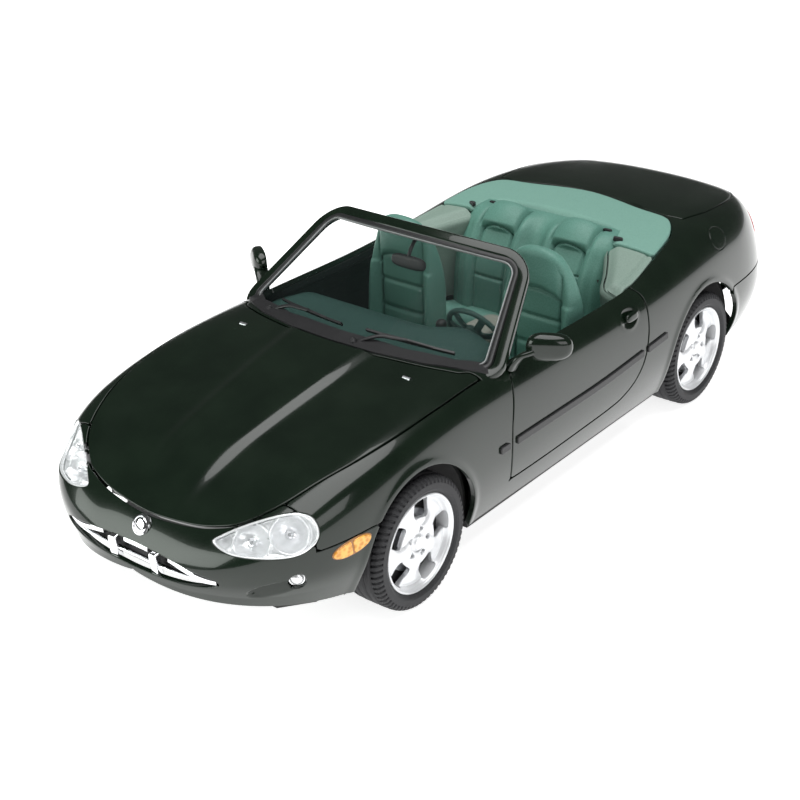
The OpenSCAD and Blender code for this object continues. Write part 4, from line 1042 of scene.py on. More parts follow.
# A plain roundel where the nose badge is
BADGE_Z = 31.0
fit(lathe("nose_badge", [(0, 1.0), (1.3, 0.92), (1.9, 0.72), (2.05, 0.55), (2.2, 0.72), (2.6, 0.6),
          (2.75, 0.2), (2.75, -1.0), (0, -1.0)], CHROME, np.array([0, front_y(0.0, BADGE_Z), BADGE_Z]),
          np.array([0, -0.86, 0.5]), 48), "car", "chrome_plating")

# ---------------------------------------------------------------- wheels
SPOKE_TURN = math.radians(41)


def spoke_offset(r, turn):
    """Distance across from the nearest spoke's centreline, and that spoke's half width."""
    a = (turn - SPOKE_TURN + math.pi / 5) % (2 * math.pi / 5) - math.pi / 5
    return r * np.sin(a), 2.3 + 2.5 * smooth_step(r, 7.4, 12.2) + 1.1 * (1 - smooth_step(r, 3.5, 6))


def wheel_place(r, turn):
    """The wheel's face: crowned spokes, a dished middle and a raised rim."""
    w, half = spoke_offset(r, turn)
    crown = (1 - np.clip(np.abs(w) / half, 0, 1) ** 2.2) * smooth_step(r, 2.2, 4.5) * (
        1 - smooth_step(r, 10.6, 12.4))
    x = 4.9 + 0.65 * crown - 0.9 * smooth_step(r, 5, 11) + 1.5 * smooth_step(r, 11.8, 12.8)
    x = x + 0.55 * (1 - smooth_step(r, 1.75, 2.05)) - 0.35 * bump_along(r, 2.35, 0.22)
    return np.stack([x, r * np.cos(turn), r * np.sin(turn)], -1)


def wheel_inside(p):
    """The face without its windows and its five stud holes."""
    r, turn = np.hypot(p[..., 1], p[..., 2]), np.arctan2(p[..., 2], p[..., 1])
    w, half = spoke_offset(r, turn)
    metal = smooth_max(0.45, half - np.abs(w) - 0.2, r - 12.2, 6.9 - r)
    a = (turn - SPOKE_TURN) % (2 * math.pi / 5) - math.pi / 5
    lug = np.hypot(r * np.cos(a) - 3.75, r * np.sin(a)) - 0.8
    return np.minimum.reduce([metal, lug, 13.35 - r])


fine = 1
face = skin("wheel_face", np.concatenate([np.arange(0.05, 13.4, 0.2 * fine), [13.4]]),
            np.linspace(0, 2 * math.pi, 360 // fine + 1), wheel_place, SILVER, inside=wheel_inside,
            edge=0.3, depth=1.5, steps=3)
lip = lathe("wheel_lip", [(12.5, 4.6), (12.75, 5.5), (13.0, 5.95), (13.35, 6.15), (13.6, 6.0), (13.75, 5.4),
            (13.6, 4.0), (13.1, 2.6), (12.7, 0), (12.7, -6), (12.3, -6), (12.3, 2.4), (12.5, 4.6)],
            SILVER, axis=(1, 0, 0), steps=96)
well = lathe("wheel_well", [(0, 1.6), (11.8, 1.6), (12.2, 1.2), (12.2, -1.2), (0, -1.2)], BASE_BLACK,
             axis=(1, 0, 0), steps=64)
disc = lathe("wheel_brake", [(0, 2.3), (8.4, 2.3), (8.6, 2.1), (8.6, 1.5), (0, 1.5)], STEEL,
             axis=(1, 0, 0), steps=64)
studs = []
for k in range(5):
    a = SPOKE_TURN + math.pi / 5 + k * 2 * math.pi / 5
    studs.append(lathe(f"stud_{k}", [(0, 0.7), (0.28, 0.62), (0.36, 0.4), (0.36, -1.2), (0, -1.2)], STEEL,
                       (4.0, 3.75 * math.cos(a), 3.75 * math.sin(a)), (1, 0, 0), 12))
WHEEL = [face, lip, well, disc] + studs

TYRE_LINE = smooth_loop([[5.3, 13.3], [5.9, 13.9], [6.55, 14.9], [6.75, 16.0], [6.55, 17.0], [5.95, 17.85],
                         [5.0, 18.25], [3, 18.38], [0, 18.4], [-3, 18.38], [-5.0, 18.25], [-5.95, 17.85],
                         [-6.55, 17.0], [-6.75, 16.0], [-6.55, 14.9], [-5.9, 13.9], [-5.3, 13.3]],
                        closed=False, per=8)
BLOCKS = 66


def tyre_place(s, turn):
    """The tyre: its section turned about the axle, with tread blocks and wall bands cut in."""
    s = np.clip(s, 0, len(TYRE_LINE) - 1)
    i = np.minimum(np.floor(s).astype(int), len(TYRE_LINE) - 2)
    f = (s - i)[..., None]
    line = TYRE_LINE[i] * (1 - f) + TYRE_LINE[i + 1] * f
    x, r = line[..., 0], line[..., 1]
    ax = np.abs(x)
    phase = (turn * BLOCKS / (2 * math.pi) + 0.16 * ax) % 1.0
    cut = 1 - smooth_step(np.abs(phase - 0.5), 0.13, 0.24)
    shoulder = smooth_step(r, 16.55, 16.8) * smooth_step(ax, 3.6, 3.9)
    rings = sum(bump_along(ax, c, 0.3) for c in (1.3, 3.6)) * smooth_step(r, 18, 18.2)
    band = smooth_step(r, 14.3, 14.5) * (1 - smooth_step(r, 16.3, 16.5))
    wall = 0.12 * bump_along(r, 15.2, 0.25) + 0.14 * band
    depth = 0.45 * cut * shoulder + 0.5 * rings
    out = np.stack([np.sign(x) * smooth_step(ax, 4, 6.6), 0 * x + 0.6], -1)
    out /= np.linalg.norm(out, axis=-1, keepdims=True)
    x, r = x - out[..., 0] * depth + np.sign(x) * wall * (r < 17), r - out[..., 1] * depth
    x = np.clip(x, -6.75, 6.75)
    return np.stack([x, r * np.cos(turn), r * np.sin(turn)], -1)


tyre = skin("tyre", np.arange(0, len(TYRE_LINE) - 1 + 1e-6, 1.0),
            np.linspace(0, 2 * math.pi, BLOCKS * 8 + 1), tyre_place, RUBBER, back=False,
            flip=False)

WHEEL_X = 42.25
for side, word in SIDES:
    for end, y in (("front", FRONT_Y), ("rear", REAR_Y)):
        body_name = f"wheel_front_{word}" if end == "front" else "rear_wheelset"
        place = Matrix.Translation(Vector((side * WHEEL_X, y, TYRE_R)) * MM)
        if side < 0:
            place = place @ Matrix.Rotation(math.pi, 4, "Z")
        for part in WHEEL + [tyre]:
            copy = new_object(f"{end}_{word}_{part.name}", part.data)
            copy.matrix_world = place
            fit(copy, body_name, "tyre_rubber" if part is tyre else "wheel_silver")
        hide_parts(f"rim_{end}_{word}")
        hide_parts(f"tyre_{end}_{word}")
for part in WHEEL + [tyre]:
    bpy.data.objects.remove(part)

# ---------------------------------------------------------------- windscreen
SCREEN_NORMAL = np.array([0, -0.593, 0.805])


def screen_point(s, h):
    """A point of the windscreen: s across from -1 to 1, h up from the cowl to the header."""
    s, h = np.broadcast_arrays(np.asarray(s, float), np.asarray(h, float))
    bow = 1 - s**2
    base = np.stack([44.0 * s, -38.8 - 11.2 * bow, 50.3 + 3.1 * bow], -1)
    head = np.stack([34.4 * s, -11.2 - 5.0 * bow, 70.8 + 2.4 * bow], -1)
    return base + (head - base) * h[..., None]


def screen_loop(inset, corner, low):
    """A rounded outline on the windscreen, inset from the frame's centreline, in millimetres."""
    wide, tall = 39.0, 36.0
    s, t, b = 1 - inset / wide, 1 - inset / tall, (inset + low) / tall
    cs, ct = corner / wide, corner / tall
    half = []
    for k in np.linspace(0, 1, 14):
        half.append([(s - cs * 0.7) * k, b])
    for a in np.linspace(-90, 0, 9)[1:]:
        c = math.radians(a)
        half.append([s - cs * 0.7 + cs * 0.7 * math.cos(c), b + ct * 0.7 + ct * 0.7 * math.sin(c)])
    for k in np.linspace(0, 1, 12)[1:]:
        half.append([s, b + ct * 0.7 + (t - ct - b - ct * 0.7) * k])
    for a in np.linspace(0, 90, 13)[1:]:
        c = math.radians(a)
        half.append([s - cs + cs * math.cos(c), t - ct + ct * math.sin(c)])
    for k in np.linspace(1, 0, 14)[1:]:
        half.append([(s - cs) * k, t])
    half = np.array(half)
    other = half[1:-1][::-1] * [-1, 1]
    loop = np.concatenate([half, other])
    return screen_point(loop[:, 0], loop[:, 1])


# The lower rail lies this far below the cowl's line, so that the pane reaches down to the cowl
SUNK = -2.6
fit(ribbon("windscreen_surround", screen_loop(0, 7.4, SUNK), SCREEN_NORMAL,
           round_section(3.7, 2.5, 3.2, 24), PAINT, closed=True), "car", "body_paint", "windscreen_frame")
fit(ribbon("windscreen_gasket", screen_loop(2.0, 4.2, SUNK) + 0.45 * SCREEN_NORMAL, SCREEN_NORMAL,
           round_section(1.5, 1.3, 3, 16), BLACK, closed=True), "car", "black_trim", "windscreen_seal")
fit(ribbon("windscreen_bead", screen_loop(2.9, 3.8, SUNK) + 0.55 * SCREEN_NORMAL, SCREEN_NORMAL,
           round_section(0.5, 0.9, 2.4, 12), SEAL_GREY, closed=True), "car", "black_trim")
pane_loop = screen_loop(2.2, 4, SUNK)


def in_pane(p):
    """Distance inside the glass outline, measured on the windscreen's own plane."""
    slope = np.array([0, 0.805, 0.593])
    return inside_distance(p[..., 0], p @ slope, np.stack([pane_loop[:, 0], pane_loop @ slope], -1))


fit(skin("windscreen_pane", np.linspace(-1, 1, 60), np.linspace(-0.02, 1.02, 40),
         lambda s, h: screen_point(s, h) + 0.3 * SCREEN_NORMAL, GLASS, inside=in_pane, edge=0.1, depth=0.8),
    "car", "clear_glazing", "windscreen_glass")
fit(padded_box("interior_mirror", (0, -20.3, 65.0), (12, 1.9, 3.9), BLACK, tilt=(-8, 0, 0), power=3.2),
    "car", "black_trim", "rear_view_mirror")
fit(padded_box("interior_mirror_glass", (0, -19.45, 64.9), (10.6, 0.5, 2.9), MIRROR, tilt=(-8, 0, 0),
               power=3.2), "car", "mirror_film")
fit(tube("interior_mirror_stalk", [(0, -20.6, 66.0), (0, -19.3, 68.6), (0, -17.2, 70.8)], 0.55, BLACK),
    "car", "black_trim")
for side, word in SIDES:
    fit(padded_box(f"sun_visor_{word}", (side * 15.0, -11.1, 68.9), (16, 6, 1.1), BLACK,
                   tilt=(-30, 0, side * -3), power=4), "car", "black_trim",
        *(["sun_visors"] if side > 0 else []))

for k, x0 in enumerate((-27.0, 6.0)):
    def at(s, h, up):
        return screen_point(s / 42, h) + up * SCREEN_NORMAL
    root, elbow, tip = at(x0, -0.055, 2.0), at(x0 + 6.0, 0.05, 2.3), at(x0 + 13, 0.075, 2.0)
    fit(lathe(f"wiper_spindle_{k}", [(0, 1.5), (0.8, 1.4), (1.15, 1.0), (1.3, 0.2), (1.3, -1.8), (0, -1.8)],
              BLACK, root, SCREEN_NORMAL, 24), "car", "black_trim", *(["wipers"] if k == 0 else []))
    arm = np.array([root, (root + elbow) / 2 + [0, 0, 0.25], elbow, (elbow + tip) / 2, tip])
    fit(ribbon(f"wiper_arm_{k}", smooth_loop(arm, closed=False, per=6), SCREEN_NORMAL,
               round_section(1.05, 0.75, 3, 12), BLACK), "car", "black_trim")
    along = np.linspace(-12.5, 12.5, 30)
    path = np.array([at(x0 + 13 + t, 0.075 - 0.0006 * t, 1.25) for t in along])
    fit(ribbon(f"wiper_blade_{k}", path, SCREEN_NORMAL, [(-0.25, -0.85), (0.25, -0.85), (0.4, 0.1),
               (0.3, 0.5), (-0.3, 0.5), (-0.4, 0.1)], BLACK), "car", "black_trim")
    path = np.array([at(x0 + 13 + t, 0.075 - 0.0006 * t, 1.75 + 0.35 * math.cos(t / 12.5 * math.pi))
                     for t in np.linspace(-7, 7, 24)])
    fit(ribbon(f"wiper_bridge_{k}", path, SCREEN_NORMAL, round_section(0.7, 0.4, 3, 10), BLACK), "car",
        "black_trim")

# ---------------------------------------------------------------- door mirrors
def mirror_shell(side):
    """The mirror's housing: a long rounded pod swept back from its foot on the door."""
    inner, outer = np.array([47.3, -30.2, 55.6]), np.array([56.8, -23.2, 55.2])
    along = (outer - inner) / np.linalg.norm(outer - inner)
    back = np.array([-0.50, 0.86, 0.0])
    up = np.cross(along, back)
    up = up / np.linalg.norm(up) * np.sign(up[2])

    def place(t, turn):
        grow = np.clip(1 - np.abs(2 * t - 1) ** 3.0, 0, 1) ** 0.45
        high = (4.1 - 0.5 * t) * grow
        deep = (2.9 - 0.2 * t) * grow
        c, s = np.cos(turn), np.sin(turn)
        b = deep * np.sign(c) * np.abs(c) ** 0.8
        b = np.where(b > 1.15, 1.15 + (b - 1.15) * 0.05, b)
        h = high * np.sign(s) * np.abs(s) ** 0.85
        axis = inner - 0.4 * along + (outer - inner + 0.8 * along) * t[..., None]
        return (axis + b[..., None] * back + h[..., None] * up) * [side, 1, 1]
    return place, inner, outer, along, back, up


for side, word in SIDES:
    place, inner, outer, along, back, up = mirror_shell(side)
    pod = skin(f"mirror_{word}_pod", np.linspace(0.001, 0.999, 44), np.linspace(0, 2 * math.pi, 65), place,
               PAINT, back=False, flip=side > 0)
    fit(pod, f"door_{word}", "body_paint", f"mirror_{word}")
    mid = (inner + outer) / 2 + 1.25 * back
    m = np.stack([along, back, up])

    def glass_place(a, b, m=m, mid=mid, side=side):
        q = mid + a[..., None] * m[0] + b[..., None] * m[2]
        return q * [side, 1, 1]

    def in_glass(p, m=m, mid=mid, side=side):
        q = (p * [side, 1, 1]) - mid
        a, b = q @ m[0], q @ m[2]
        return (1 - (np.abs(a / 5.1) ** 2.8 + np.abs(b / 3.0) ** 2.8) ** (1 / 2.8)) * 3.0
    fit(skin(f"mirror_{word}_glass", np.linspace(-5.2, 5.2, 40), np.linspace(-3.1, 3.1, 26), glass_place,
             MIRROR, inside=in_glass, edge=0.12, depth=0.4, flip=side > 0), f"door_{word}", "mirror_film",
        f"mirror_glass_{word}")
    foot = np.array([[44.6, -33.4, 49.3], [45.4, -32.8, 51.2], [46.8, -31.6, 53.2], [49.0, -29.6, 54.4]])
    foot = smooth_loop(foot, closed=False, per=6) * [side, 1, 1]
    stalk = ribbon(f"mirror_{word}_foot", foot, (0, 1, 0.0), round_section(1.9, 4.4, 2.4, 20), PAINT)
    fit(stalk, f"door_{word}", "body_paint")


# ---------------------------------------------------------------- seats and cabin
def along_points(points, t, k):
    """Column k of given points, read smoothly at t from 0 to 1."""
    curve = smooth_loop(points, closed=False, per=12)
    at = np.linspace(0, 1, len(curve))
    return np.interp(t, at, curve[:, k])


def groove(d, width=0.45, depth=0.55):
    """A sewn channel at d = 0."""
    return -depth * np.exp(-(d / width) ** 2)


# The back's spine and size: place along the car, height, half width, half thickness
BACK = [[13.0, 18, 11.0, 3.4], [13.3, 26, 13.0, 4.2], [13.4, 36, 13.3, 4.4], [13.1, 46, 13.1, 4.3],
        [12.6, 52.5, 11.9, 4.0], [11.6, 58.5, 9.9, 3.5], [10.3, 63, 7.8, 3.0], [9.3, 65.8, 6.4, 2.4]]


def seat_back_place(x0, slid):
    """A front seat's back: an oval section along its spine, with a sewn panel, arch and wings."""
    def place(t, turn):
        y, z, wide, deep = (along_points(BACK, t, k) for k in range(4))
        close = np.clip(1 - np.clip((t - 0.8) / 0.2, 0, 1) ** 2.2, 0, 1) ** 0.5
        start = np.clip(1 - np.clip((0.05 - t) / 0.05, 0, 1) ** 2.4, 0, 1) ** 0.5
        wide, deep = wide * close * start, deep * close * start
        c, s = np.cos(turn), np.sin(turn)
        x = wide * np.sign(c) * np.abs(c) ** (2 / 2.7)
        d = deep * np.sign(s) * np.abs(s) ** (2 / 2.7)
        front = smooth_step(s, 0.15, 0.55)
        inner = np.maximum(8.2 * np.minimum(1, wide / 10), 0.8)
        ax = np.abs(x)
        arch = 0.50 + 0.083 * np.sqrt(np.clip(1 - (ax / inner) ** 2, 0, 1))
        below = smooth_step(arch - t, -0.01, 0.02)
        crown = np.sqrt(np.clip(1 - (ax / inner) ** 2, 0, 1))
        wing = smooth_step(ax - inner, 0.3, 3.0) * (1 - smooth_step(z, 30, 66)) * smooth_step(z, 18, 26)
        middle = -0.9 * below + 0.6 * crown * (0.5 + 0.5 * below) * below
        relief = np.where(ax < inner, middle, 0.45 * below + 3.0 * wing)
        relief = relief + groove(ax - inner, 0.5, 0.75) * (1 - smooth_step(t, 0.64, 0.78))
        within = smooth_step(inner - ax, -0.3, 0.3)
        for seam in (0.135, 0.263, 0.39):
            relief = relief + within * groove((t - seam - 0.008 * crown) * 46, 0.5, 0.6)
        relief = relief + within * groove((t - arch) * 46, 0.6, 0.85)
        head = smooth_step(t - arch, 0, 0.06) * (1 - smooth_step(t, 0.66, 0.86))
        relief = relief + 0.9 * head * crown * within
        d = d + relief * front * close
        tilt = math.radians(-3)
        return np.stack([x0 + x, y - slid - d * math.cos(tilt), z + d * math.sin(tilt)], -1)
    return place


def cushion(name, centre, size, relief, material, tilt=(0, 0, 0), power=4.0):
    """A moulded pad: a superellipsoid whose top is raised by relief(x, y) in millimetres."""
    def place(a, b):
        q = super_box(a, b, size, power)
        top = smooth_step(q[..., 2] / size[2], 0.1, 0.45)
        q[..., 2] += top * relief(q[..., 0], q[..., 1])
        return q @ turned(tilt).T + np.array(centre)
    half = math.pi / 2 - 1e-4
    return skin(name, np.linspace(-half, half, 61), np.linspace(0, 2 * math.pi, 97), place, material,
                back=False, flip=True)


# The seats' centrelines, and how much further forward the right one sits
SEAT_X, SEAT_SLID = 24.0, 3.2


def front_base(x, y):
    """Relief of a front cushion: a sunk, quilted middle between raised bolsters."""
    ax = np.abs(x)
    inner = 8.2
    r = np.where(ax < inner, -0.9 + 0.5 * np.sqrt(np.clip(1 - (ax / inner) ** 2, 0, 1)), 0.9)
    r = r + groove(ax - inner, 0.5, 0.7)
    within = smooth_step(inner - ax, -0.3, 0.3)
    for seam in (-7.5, -2.5, 2.5, 7.5):
        r = r + within * groove(y - seam, 0.5, 0.5)
    return r


for side, word in SIDES:
    x0, slid = side * SEAT_X, 0 if side > 0 else SEAT_SLID
    # Rows up the back, closer together near its top
    rows = np.concatenate([np.linspace(0, 0.9, 130), 1 - 0.1 * np.linspace(0.99, 0, 40) ** 2])
    back = skin(f"seat_{word}_back", rows, np.linspace(0, 2 * math.pi, 129), seat_back_place(x0, slid),
                LEATHER, back=False)
    fit(back, "car", "interior_green", f"seat_{word}")
    fit(cushion(f"seat_{word}_cushion", (x0, -1.0 - slid, 23.4), (25.6, 26, 10), front_base, LEATHER,
                (4, 0, 0)), "car", "interior_green")
    fit(padded_box(f"seat_{word}_plinth", (x0, 0, 16.2), (19, 22, 5.4), BLACK, power=7), "car",
        "black_trim")


# The middle of each rear place
BENCH_X = 13.4


def rear_back_place(x, t):
    """The moulded rear seat backs: one sheet from the cushions up to the deck behind them."""
    line = smooth_loop([[36.4, 18], [36.8, 30], [37.6, 39], [39.4, 45.2], [42.4, 50.2], [45.2, 54.2],
                        [48.8, 56.5], [54.4, 56.9]], closed=False, per=14)
    at = np.linspace(0, 1, len(line))
    y, z = np.interp(t, at, line[:, 0]), np.interp(t, at, line[:, 1])
    ax = np.abs(np.abs(x) - BENCH_X)
    inner = 5.6
    arch = 0.585 + 0.075 * np.sqrt(np.clip(1 - (ax / inner) ** 2, 0, 1))
    dome = np.sqrt(np.clip(1 - (ax / 6.8) ** 2, 0, 1))
    top = smooth_step(t, 0.60, 0.70) * (1 - smooth_step(t, 0.90, 0.985))
    out = 3.4 * dome * top
    out = out + 1.5 * bump_along(ax, 8.2, 2.2) * (1 - smooth_step(t, 0.62, 0.93))
    out = out + 0.5 * np.sqrt(np.clip(1 - (ax / inner) ** 2, 0, 1)) * (t < arch)
    within = smooth_step(inner - ax, -0.3, 0.3)
    out = out + groove(ax - inner, 0.5, 0.7) * (1 - smooth_step(t, 0.6, 0.66))
    out = out + groove(ax - 6.8, 0.55, 0.6) * top
    out = out + within * groove((t - arch) * 52, 0.6, 0.8)
    for seam in (0.26, 0.42):
        out = out + within * groove((t - seam) * 52, 0.5, 0.55)
    out = out - 1.6 * (1 - smooth_step(np.abs(x), 0.5, 5.5)) * (1 - smooth_step(t, 0.8, 1.0))
    lean = np.interp(t, [0, 0.6, 0.8, 1], [-12, -14, -40, -85])
    lean = np.radians(lean)
    out = out - 2.5 * smooth_step(np.abs(x), 24.5, 28.6)
    return np.stack([x + 0 * t, y - out * np.cos(lean), z - out * np.sin(lean)], -1)


rear_back = skin("rear_seat_backs", np.linspace(-28.8, 28.8, 240), np.linspace(0, 1, 150), rear_back_place,
                 LEATHER, inside=lambda p: 28.6 - np.abs(p[..., 0]), edge=0.3, depth=1.2)
fit(rear_back, "car", "interior_green", "rear_seat")


def rear_base_place(x, t):
    """The moulded rear cushions: one sheet from the floor over the front edge to the backs."""
    line = smooth_loop([[27.6, 12], [27.2, 20], [28.6, 25.6], [32.0, 27.0], [38.5, 25.6]], closed=False,
                       per=14)
    at = np.linspace(0, 1, len(line))
    y, z = np.interp(t, at, line[:, 0]), np.interp(t, at, line[:, 1])
    ax = np.abs(np.abs(x) - BENCH_X)
    raised = groove(ax - 6.6, 0.5, 0.6) + 0.5 * np.sqrt(np.clip(1 - (ax / 6.6) ** 2, 0, 1))
    top = smooth_step(t, 0.35, 0.6)
    return np.stack([x + 0 * t, y - 0.4 * raised * (1 - top), z + raised * top], -1)


fit(skin("rear_cushions", np.linspace(-28.4, 28.4, 200), np.linspace(0, 1, 70), rear_base_place, LEATHER,
         inside=lambda p: 28.2 - np.abs(p[..., 0]), edge=0.3, depth=1.2), "car", "interior_green")

# The deck behind the seats, wrapped round the rear of the cabin
WELL_SIDE = [[41.6, 24.2], [37.6, 24.8], [35.4, 27.6], [33.2, 32.4], [29.8, 38.6], [26.4, 44.4],
             [24.6, 48.6], [22.6, 51.6]]
WELL = smooth_loop(mirrored([[0, 20], [41.8, 20], *WELL_SIDE, [17, 53.8], [0, 54.8]]), sharp=(0, 1, 20))
DECK_FRONT = 46.6


def in_surround(p):
    """The cabin opening without the well that the seats are in."""
    within = inside_distance(p[..., 0], p[..., 1], CABIN) - 0.25
    return np.minimum(within, -inside_distance(p[..., 0], p[..., 1], WELL))


def in_deck(p):
    return np.minimum(in_surround(p), p[..., 1] - DECK_FRONT - 0.12 * (np.abs(p[..., 0]) - 27))


def in_ledge(p):
    front = p[..., 1] - 24.4
    back = DECK_FRONT - 0.2 + 0.12 * (np.abs(p[..., 0]) - 27) - p[..., 1]
    return np.minimum.reduce([in_surround(p), front, back])


def deck_lift(p):
    """The deck swells over the folded roof and rolls down into the well."""
    well = -inside_distance(p[..., 0], p[..., 1], WELL)
    return 0.7 + 0.3 * bump_along(p[..., 0], 0, 30) - 1.6 * (1 - smooth_step(well, 0, 3.4)) ** 2


def ledge_lift(p):
    """The ledges roll down into the well, with a fine line near the body."""
    well = -inside_distance(p[..., 0], p[..., 1], WELL)
    edge = inside_distance(p[..., 0], p[..., 1], CABIN)
    return 0.1 - 2.2 * (1 - smooth_step(well, 0, 4.5)) ** 2 - 0.35 * bump_along(edge, 2.2, 0.5)


def quarter_place(side):
    """The moulded side wall below the ledge, from the ledge's inner edge down beside the bench."""
    path = smooth_loop(WELL_SIDE, closed=False, per=12)
    tops = []
    for x, y in path:
        arc = surface(np.full(120, y), np.linspace(0.2, 1, 120))
        tops.append(np.interp(-x, -arc[:, 0], arc[:, 2]))
    at = np.linspace(0, 1, len(path))

    def place(s, t):
        x, y, top = (np.interp(s, at, column) for column in (path[:, 0], path[:, 1], np.array(tops)))
        drop = t * (top - 28)
        inward = 1.1 * smooth_step(drop, 0, 1.4) - 0.8 - 0.1 * drop
        return np.stack([side * (x - inward), y - 0.5 * inward, top - 1.95 - drop], -1)
    return place


fit(panel("deck_cover_skin", between(Y_ALL, 40, 80), between(V_ALL, 0.2, 1.8), in_deck, DECK, edge=0.7,
          depth=3.0, lift=deck_lift), "car", "deck_green", "tonneau_cover")
fit(panel("side_ledges", between(Y_ALL, 22, 54), between(V_ALL, 0.2, 1.8), in_ledge, LEDGE, edge=0.5,
          depth=1.0, lift=ledge_lift), "car", "deck_green")
for side, word in SIDES:
    fit(padded_box(f"belt_slot_{word}", (side * 27.4, 48.2, 56.4), (3.0, 1.2, 1.5), BLACK,
                   tilt=(0, side * 10, side * 28), power=5), "car", "black_trim")
    fit(padded_box(f"belt_guide_{word}", (side * 21.6, 51.6, 57.0), (2.8, 1.0, 0.9), BLACK,
                   tilt=(0, side * 4, side * 12), power=5), "car", "black_trim")
    fit(skin(f"quarter_trim_{word}", np.linspace(0, 1, 70), np.linspace(0, 1, 40), quarter_place(side),
             LEDGE, depth=1.0, flip=side > 0), "car", "deck_green")


# Dashboard: one moulded top that follows the windscreen's foot
def dash_place(x, t):
    """The dash top and face: t runs from the windscreen's foot back and down."""
    bow = 1 - (np.abs(x) / 42) ** 2
    line = smooth_loop([[-39.6, 47.8], [-36, 48.6], [-31, 48.6], [-26, 47.9], [-23.2, 46.2], [-22.4, 43.2],
                        [-23.6, 39.6], [-25.4, 36]], closed=False, per=12)
    at = np.linspace(0, 1, len(line))
    y, z = np.interp(t, at, line[:, 0]), np.interp(t, at, line[:, 1])
    front = 1 - smooth_step(t, 0.05, 0.5)
    y = y - (10.2 * bow - 0.4) * front
    z = z + 1.2 * bow * front
    hood_bump = bump_along(x, 21, 8.5) * bump_along(t, 0.52, 0.16)
    end = smooth_step(np.abs(x), 33, 39)
    return np.stack([x + 0 * t, y + 1.6 * hood_bump - 1.5 * end, z + 2.2 * hood_bump - 1.8 * end], -1)


fit(skin("dashboard_top", np.linspace(-39, 39, 120), np.linspace(0, 1, 80), dash_place, INTERIOR_PAINTED_SHADE,
         inside=lambda p: 38.8 - np.abs(p[..., 0]), edge=0.4, depth=1.4, flip=True), "car",
    "interior_green", "dashboard")
fit(padded_box("dashboard_face", (0, -26.8, 40.6), (76, 4.5, 10), INTERIOR_PAINTED_SHADE, power=8), "car", "interior_green")
for k, x in enumerate((17.4, 24.6)):
    fit(lathe(f"dial_{k}", [(0, 0.35), (2.2, 0.3), (2.5, 0.75), (2.9, 0.75), (3.0, 0)], BLACK,
              (x, -23.4, 42.2), (0, 0.96, 0.26), 36), "car", "black_trim")
for k, x in enumerate((-30, -4.5, 4.5)):
    fit(padded_box(f"vent_{k}", (x, -23.9, 42.0), (6.6, 1.6, 3), BLACK, tilt=(12, 0, 0), power=6), "car",
        "black_trim")

# Centre console, lever and carpeted tunnel
fit(cushion("console_top", (0, 2.5, 26.2), (10.4, 50, 12), lambda x, y: 1.4 * smooth_step(y, 2, 12),
                      TUNNEL, (-3, 0, 0), 6), "car", "interior_green", "centre_console")
fit(padded_box("console_panel", (0, -5, 31.6), (6.6, 17, 1.2), BLACK, tilt=(-1, 0, 0), power=6), "car",
    "black_trim")
fit(lathe("lever_stalk", [(0, 8), (0.55, 8), (0.6, 0), (0, 0)], CHROME, (0, -7, 31.6), (0, 0.2, 1), 16),
    "car", "chrome_plating")
fit(padded_box("lever_knob", (0, -5.3, 40.0), (3.0, 3.4, 3.6), BLACK, power=2.6), "car", "black_trim")

# Steering wheel on its raked column
RIM_R = 8.8
HEAD = np.array([21.0, -17.0, 47.6])
AXIS = np.array([0, 0.8862, 0.4633])
ACROSS = np.array([1.0, 0, 0])
WHEEL_UP = np.cross(AXIS, ACROSS)

a = np.linspace(0, 2 * math.pi, 72, endpoint=False)[:, None]
ring = HEAD + RIM_R * (np.cos(a) * ACROSS + np.sin(a) * WHEEL_UP)
rim = ribbon("steering_rim", ring, ring - HEAD, round_section(1.5, 1.6, 2.2, 18), INTERIOR_PAINTED_SHADE, closed=True)
fit(rim, "steering", "interior_green", "steering_wheel")
for k, turn in enumerate((-12, 192, 235, 305)):
    a = math.radians(turn)
    to = HEAD + 8.6 * (math.cos(a) * ACROSS + math.sin(a) * WHEEL_UP)
    start = HEAD - 1.0 * AXIS + 2.4 * (math.cos(a) * ACROSS + math.sin(a) * WHEEL_UP)
    fit(ribbon(f"steering_spoke_{k}", np.array([start, (start + to) / 2 - 0.3 * AXIS, to]), AXIS,
               round_section(2.2, 0.8, 3, 14), INTERIOR_PAINTED_SHADE), "steering", "interior_green")
fit(lathe("steering_hub", [(0, 0.5), (2.4, 0.35), (3.3, -0.2), (3.6, -1.0), (3.0, -2.0), (1.6, -2.6),
                           (1.6, -9), (0, -9)], INTERIOR_PAINTED_SHADE, HEAD, AXIS, 40), "steering", "interior_green")
fit(lathe("steering_shaft", [(0, 0), (0.9, 0), (0.9, -44), (0, -44)], STEEL, HEAD - 7.5 * AXIS, AXIS, 20),
    "steering", "steel")

# ---------------------------------------------------------------- tail


# Where the tail's surface is at (x, z)
rear_y = fit_end(np.linspace(112, HALF - 0.01, 140), 0.03, (36, 32, 14),
                 lambda x, y, z: (x < 36) & (z > 18) & (z < 46))
BLADE_Z, PLATE_Z, STRIP_LOW_Z = 42.2, 35.4, 26.5
x = np.linspace(-23, 23, 50)
fit(ribbon("tail_blade", np.stack([x, rear_y(x, BLADE_Z + 0 * x) + 0.35, BLADE_Z + 0 * x], -1), (0, 0, 1),
           round_section(1.2, 1.5, 3, 16), CHROME), "car", "chrome_plating")
fit(padded_box("plate_panel", (0, rear_y(0.0, PLATE_Z) - 0.2, PLATE_Z), (24, 1.2, 7.2), BLACK, tilt=(6, 0, 0),
               power=9), "car", "black_trim")
fit(padded_box("number_plate", (0, rear_y(0.0, PLATE_Z) + 0.25, PLATE_Z), (19.5, 0.9, 5.2), PLATE,
               tilt=(6, 0, 0), power=12), "car", "black_trim")
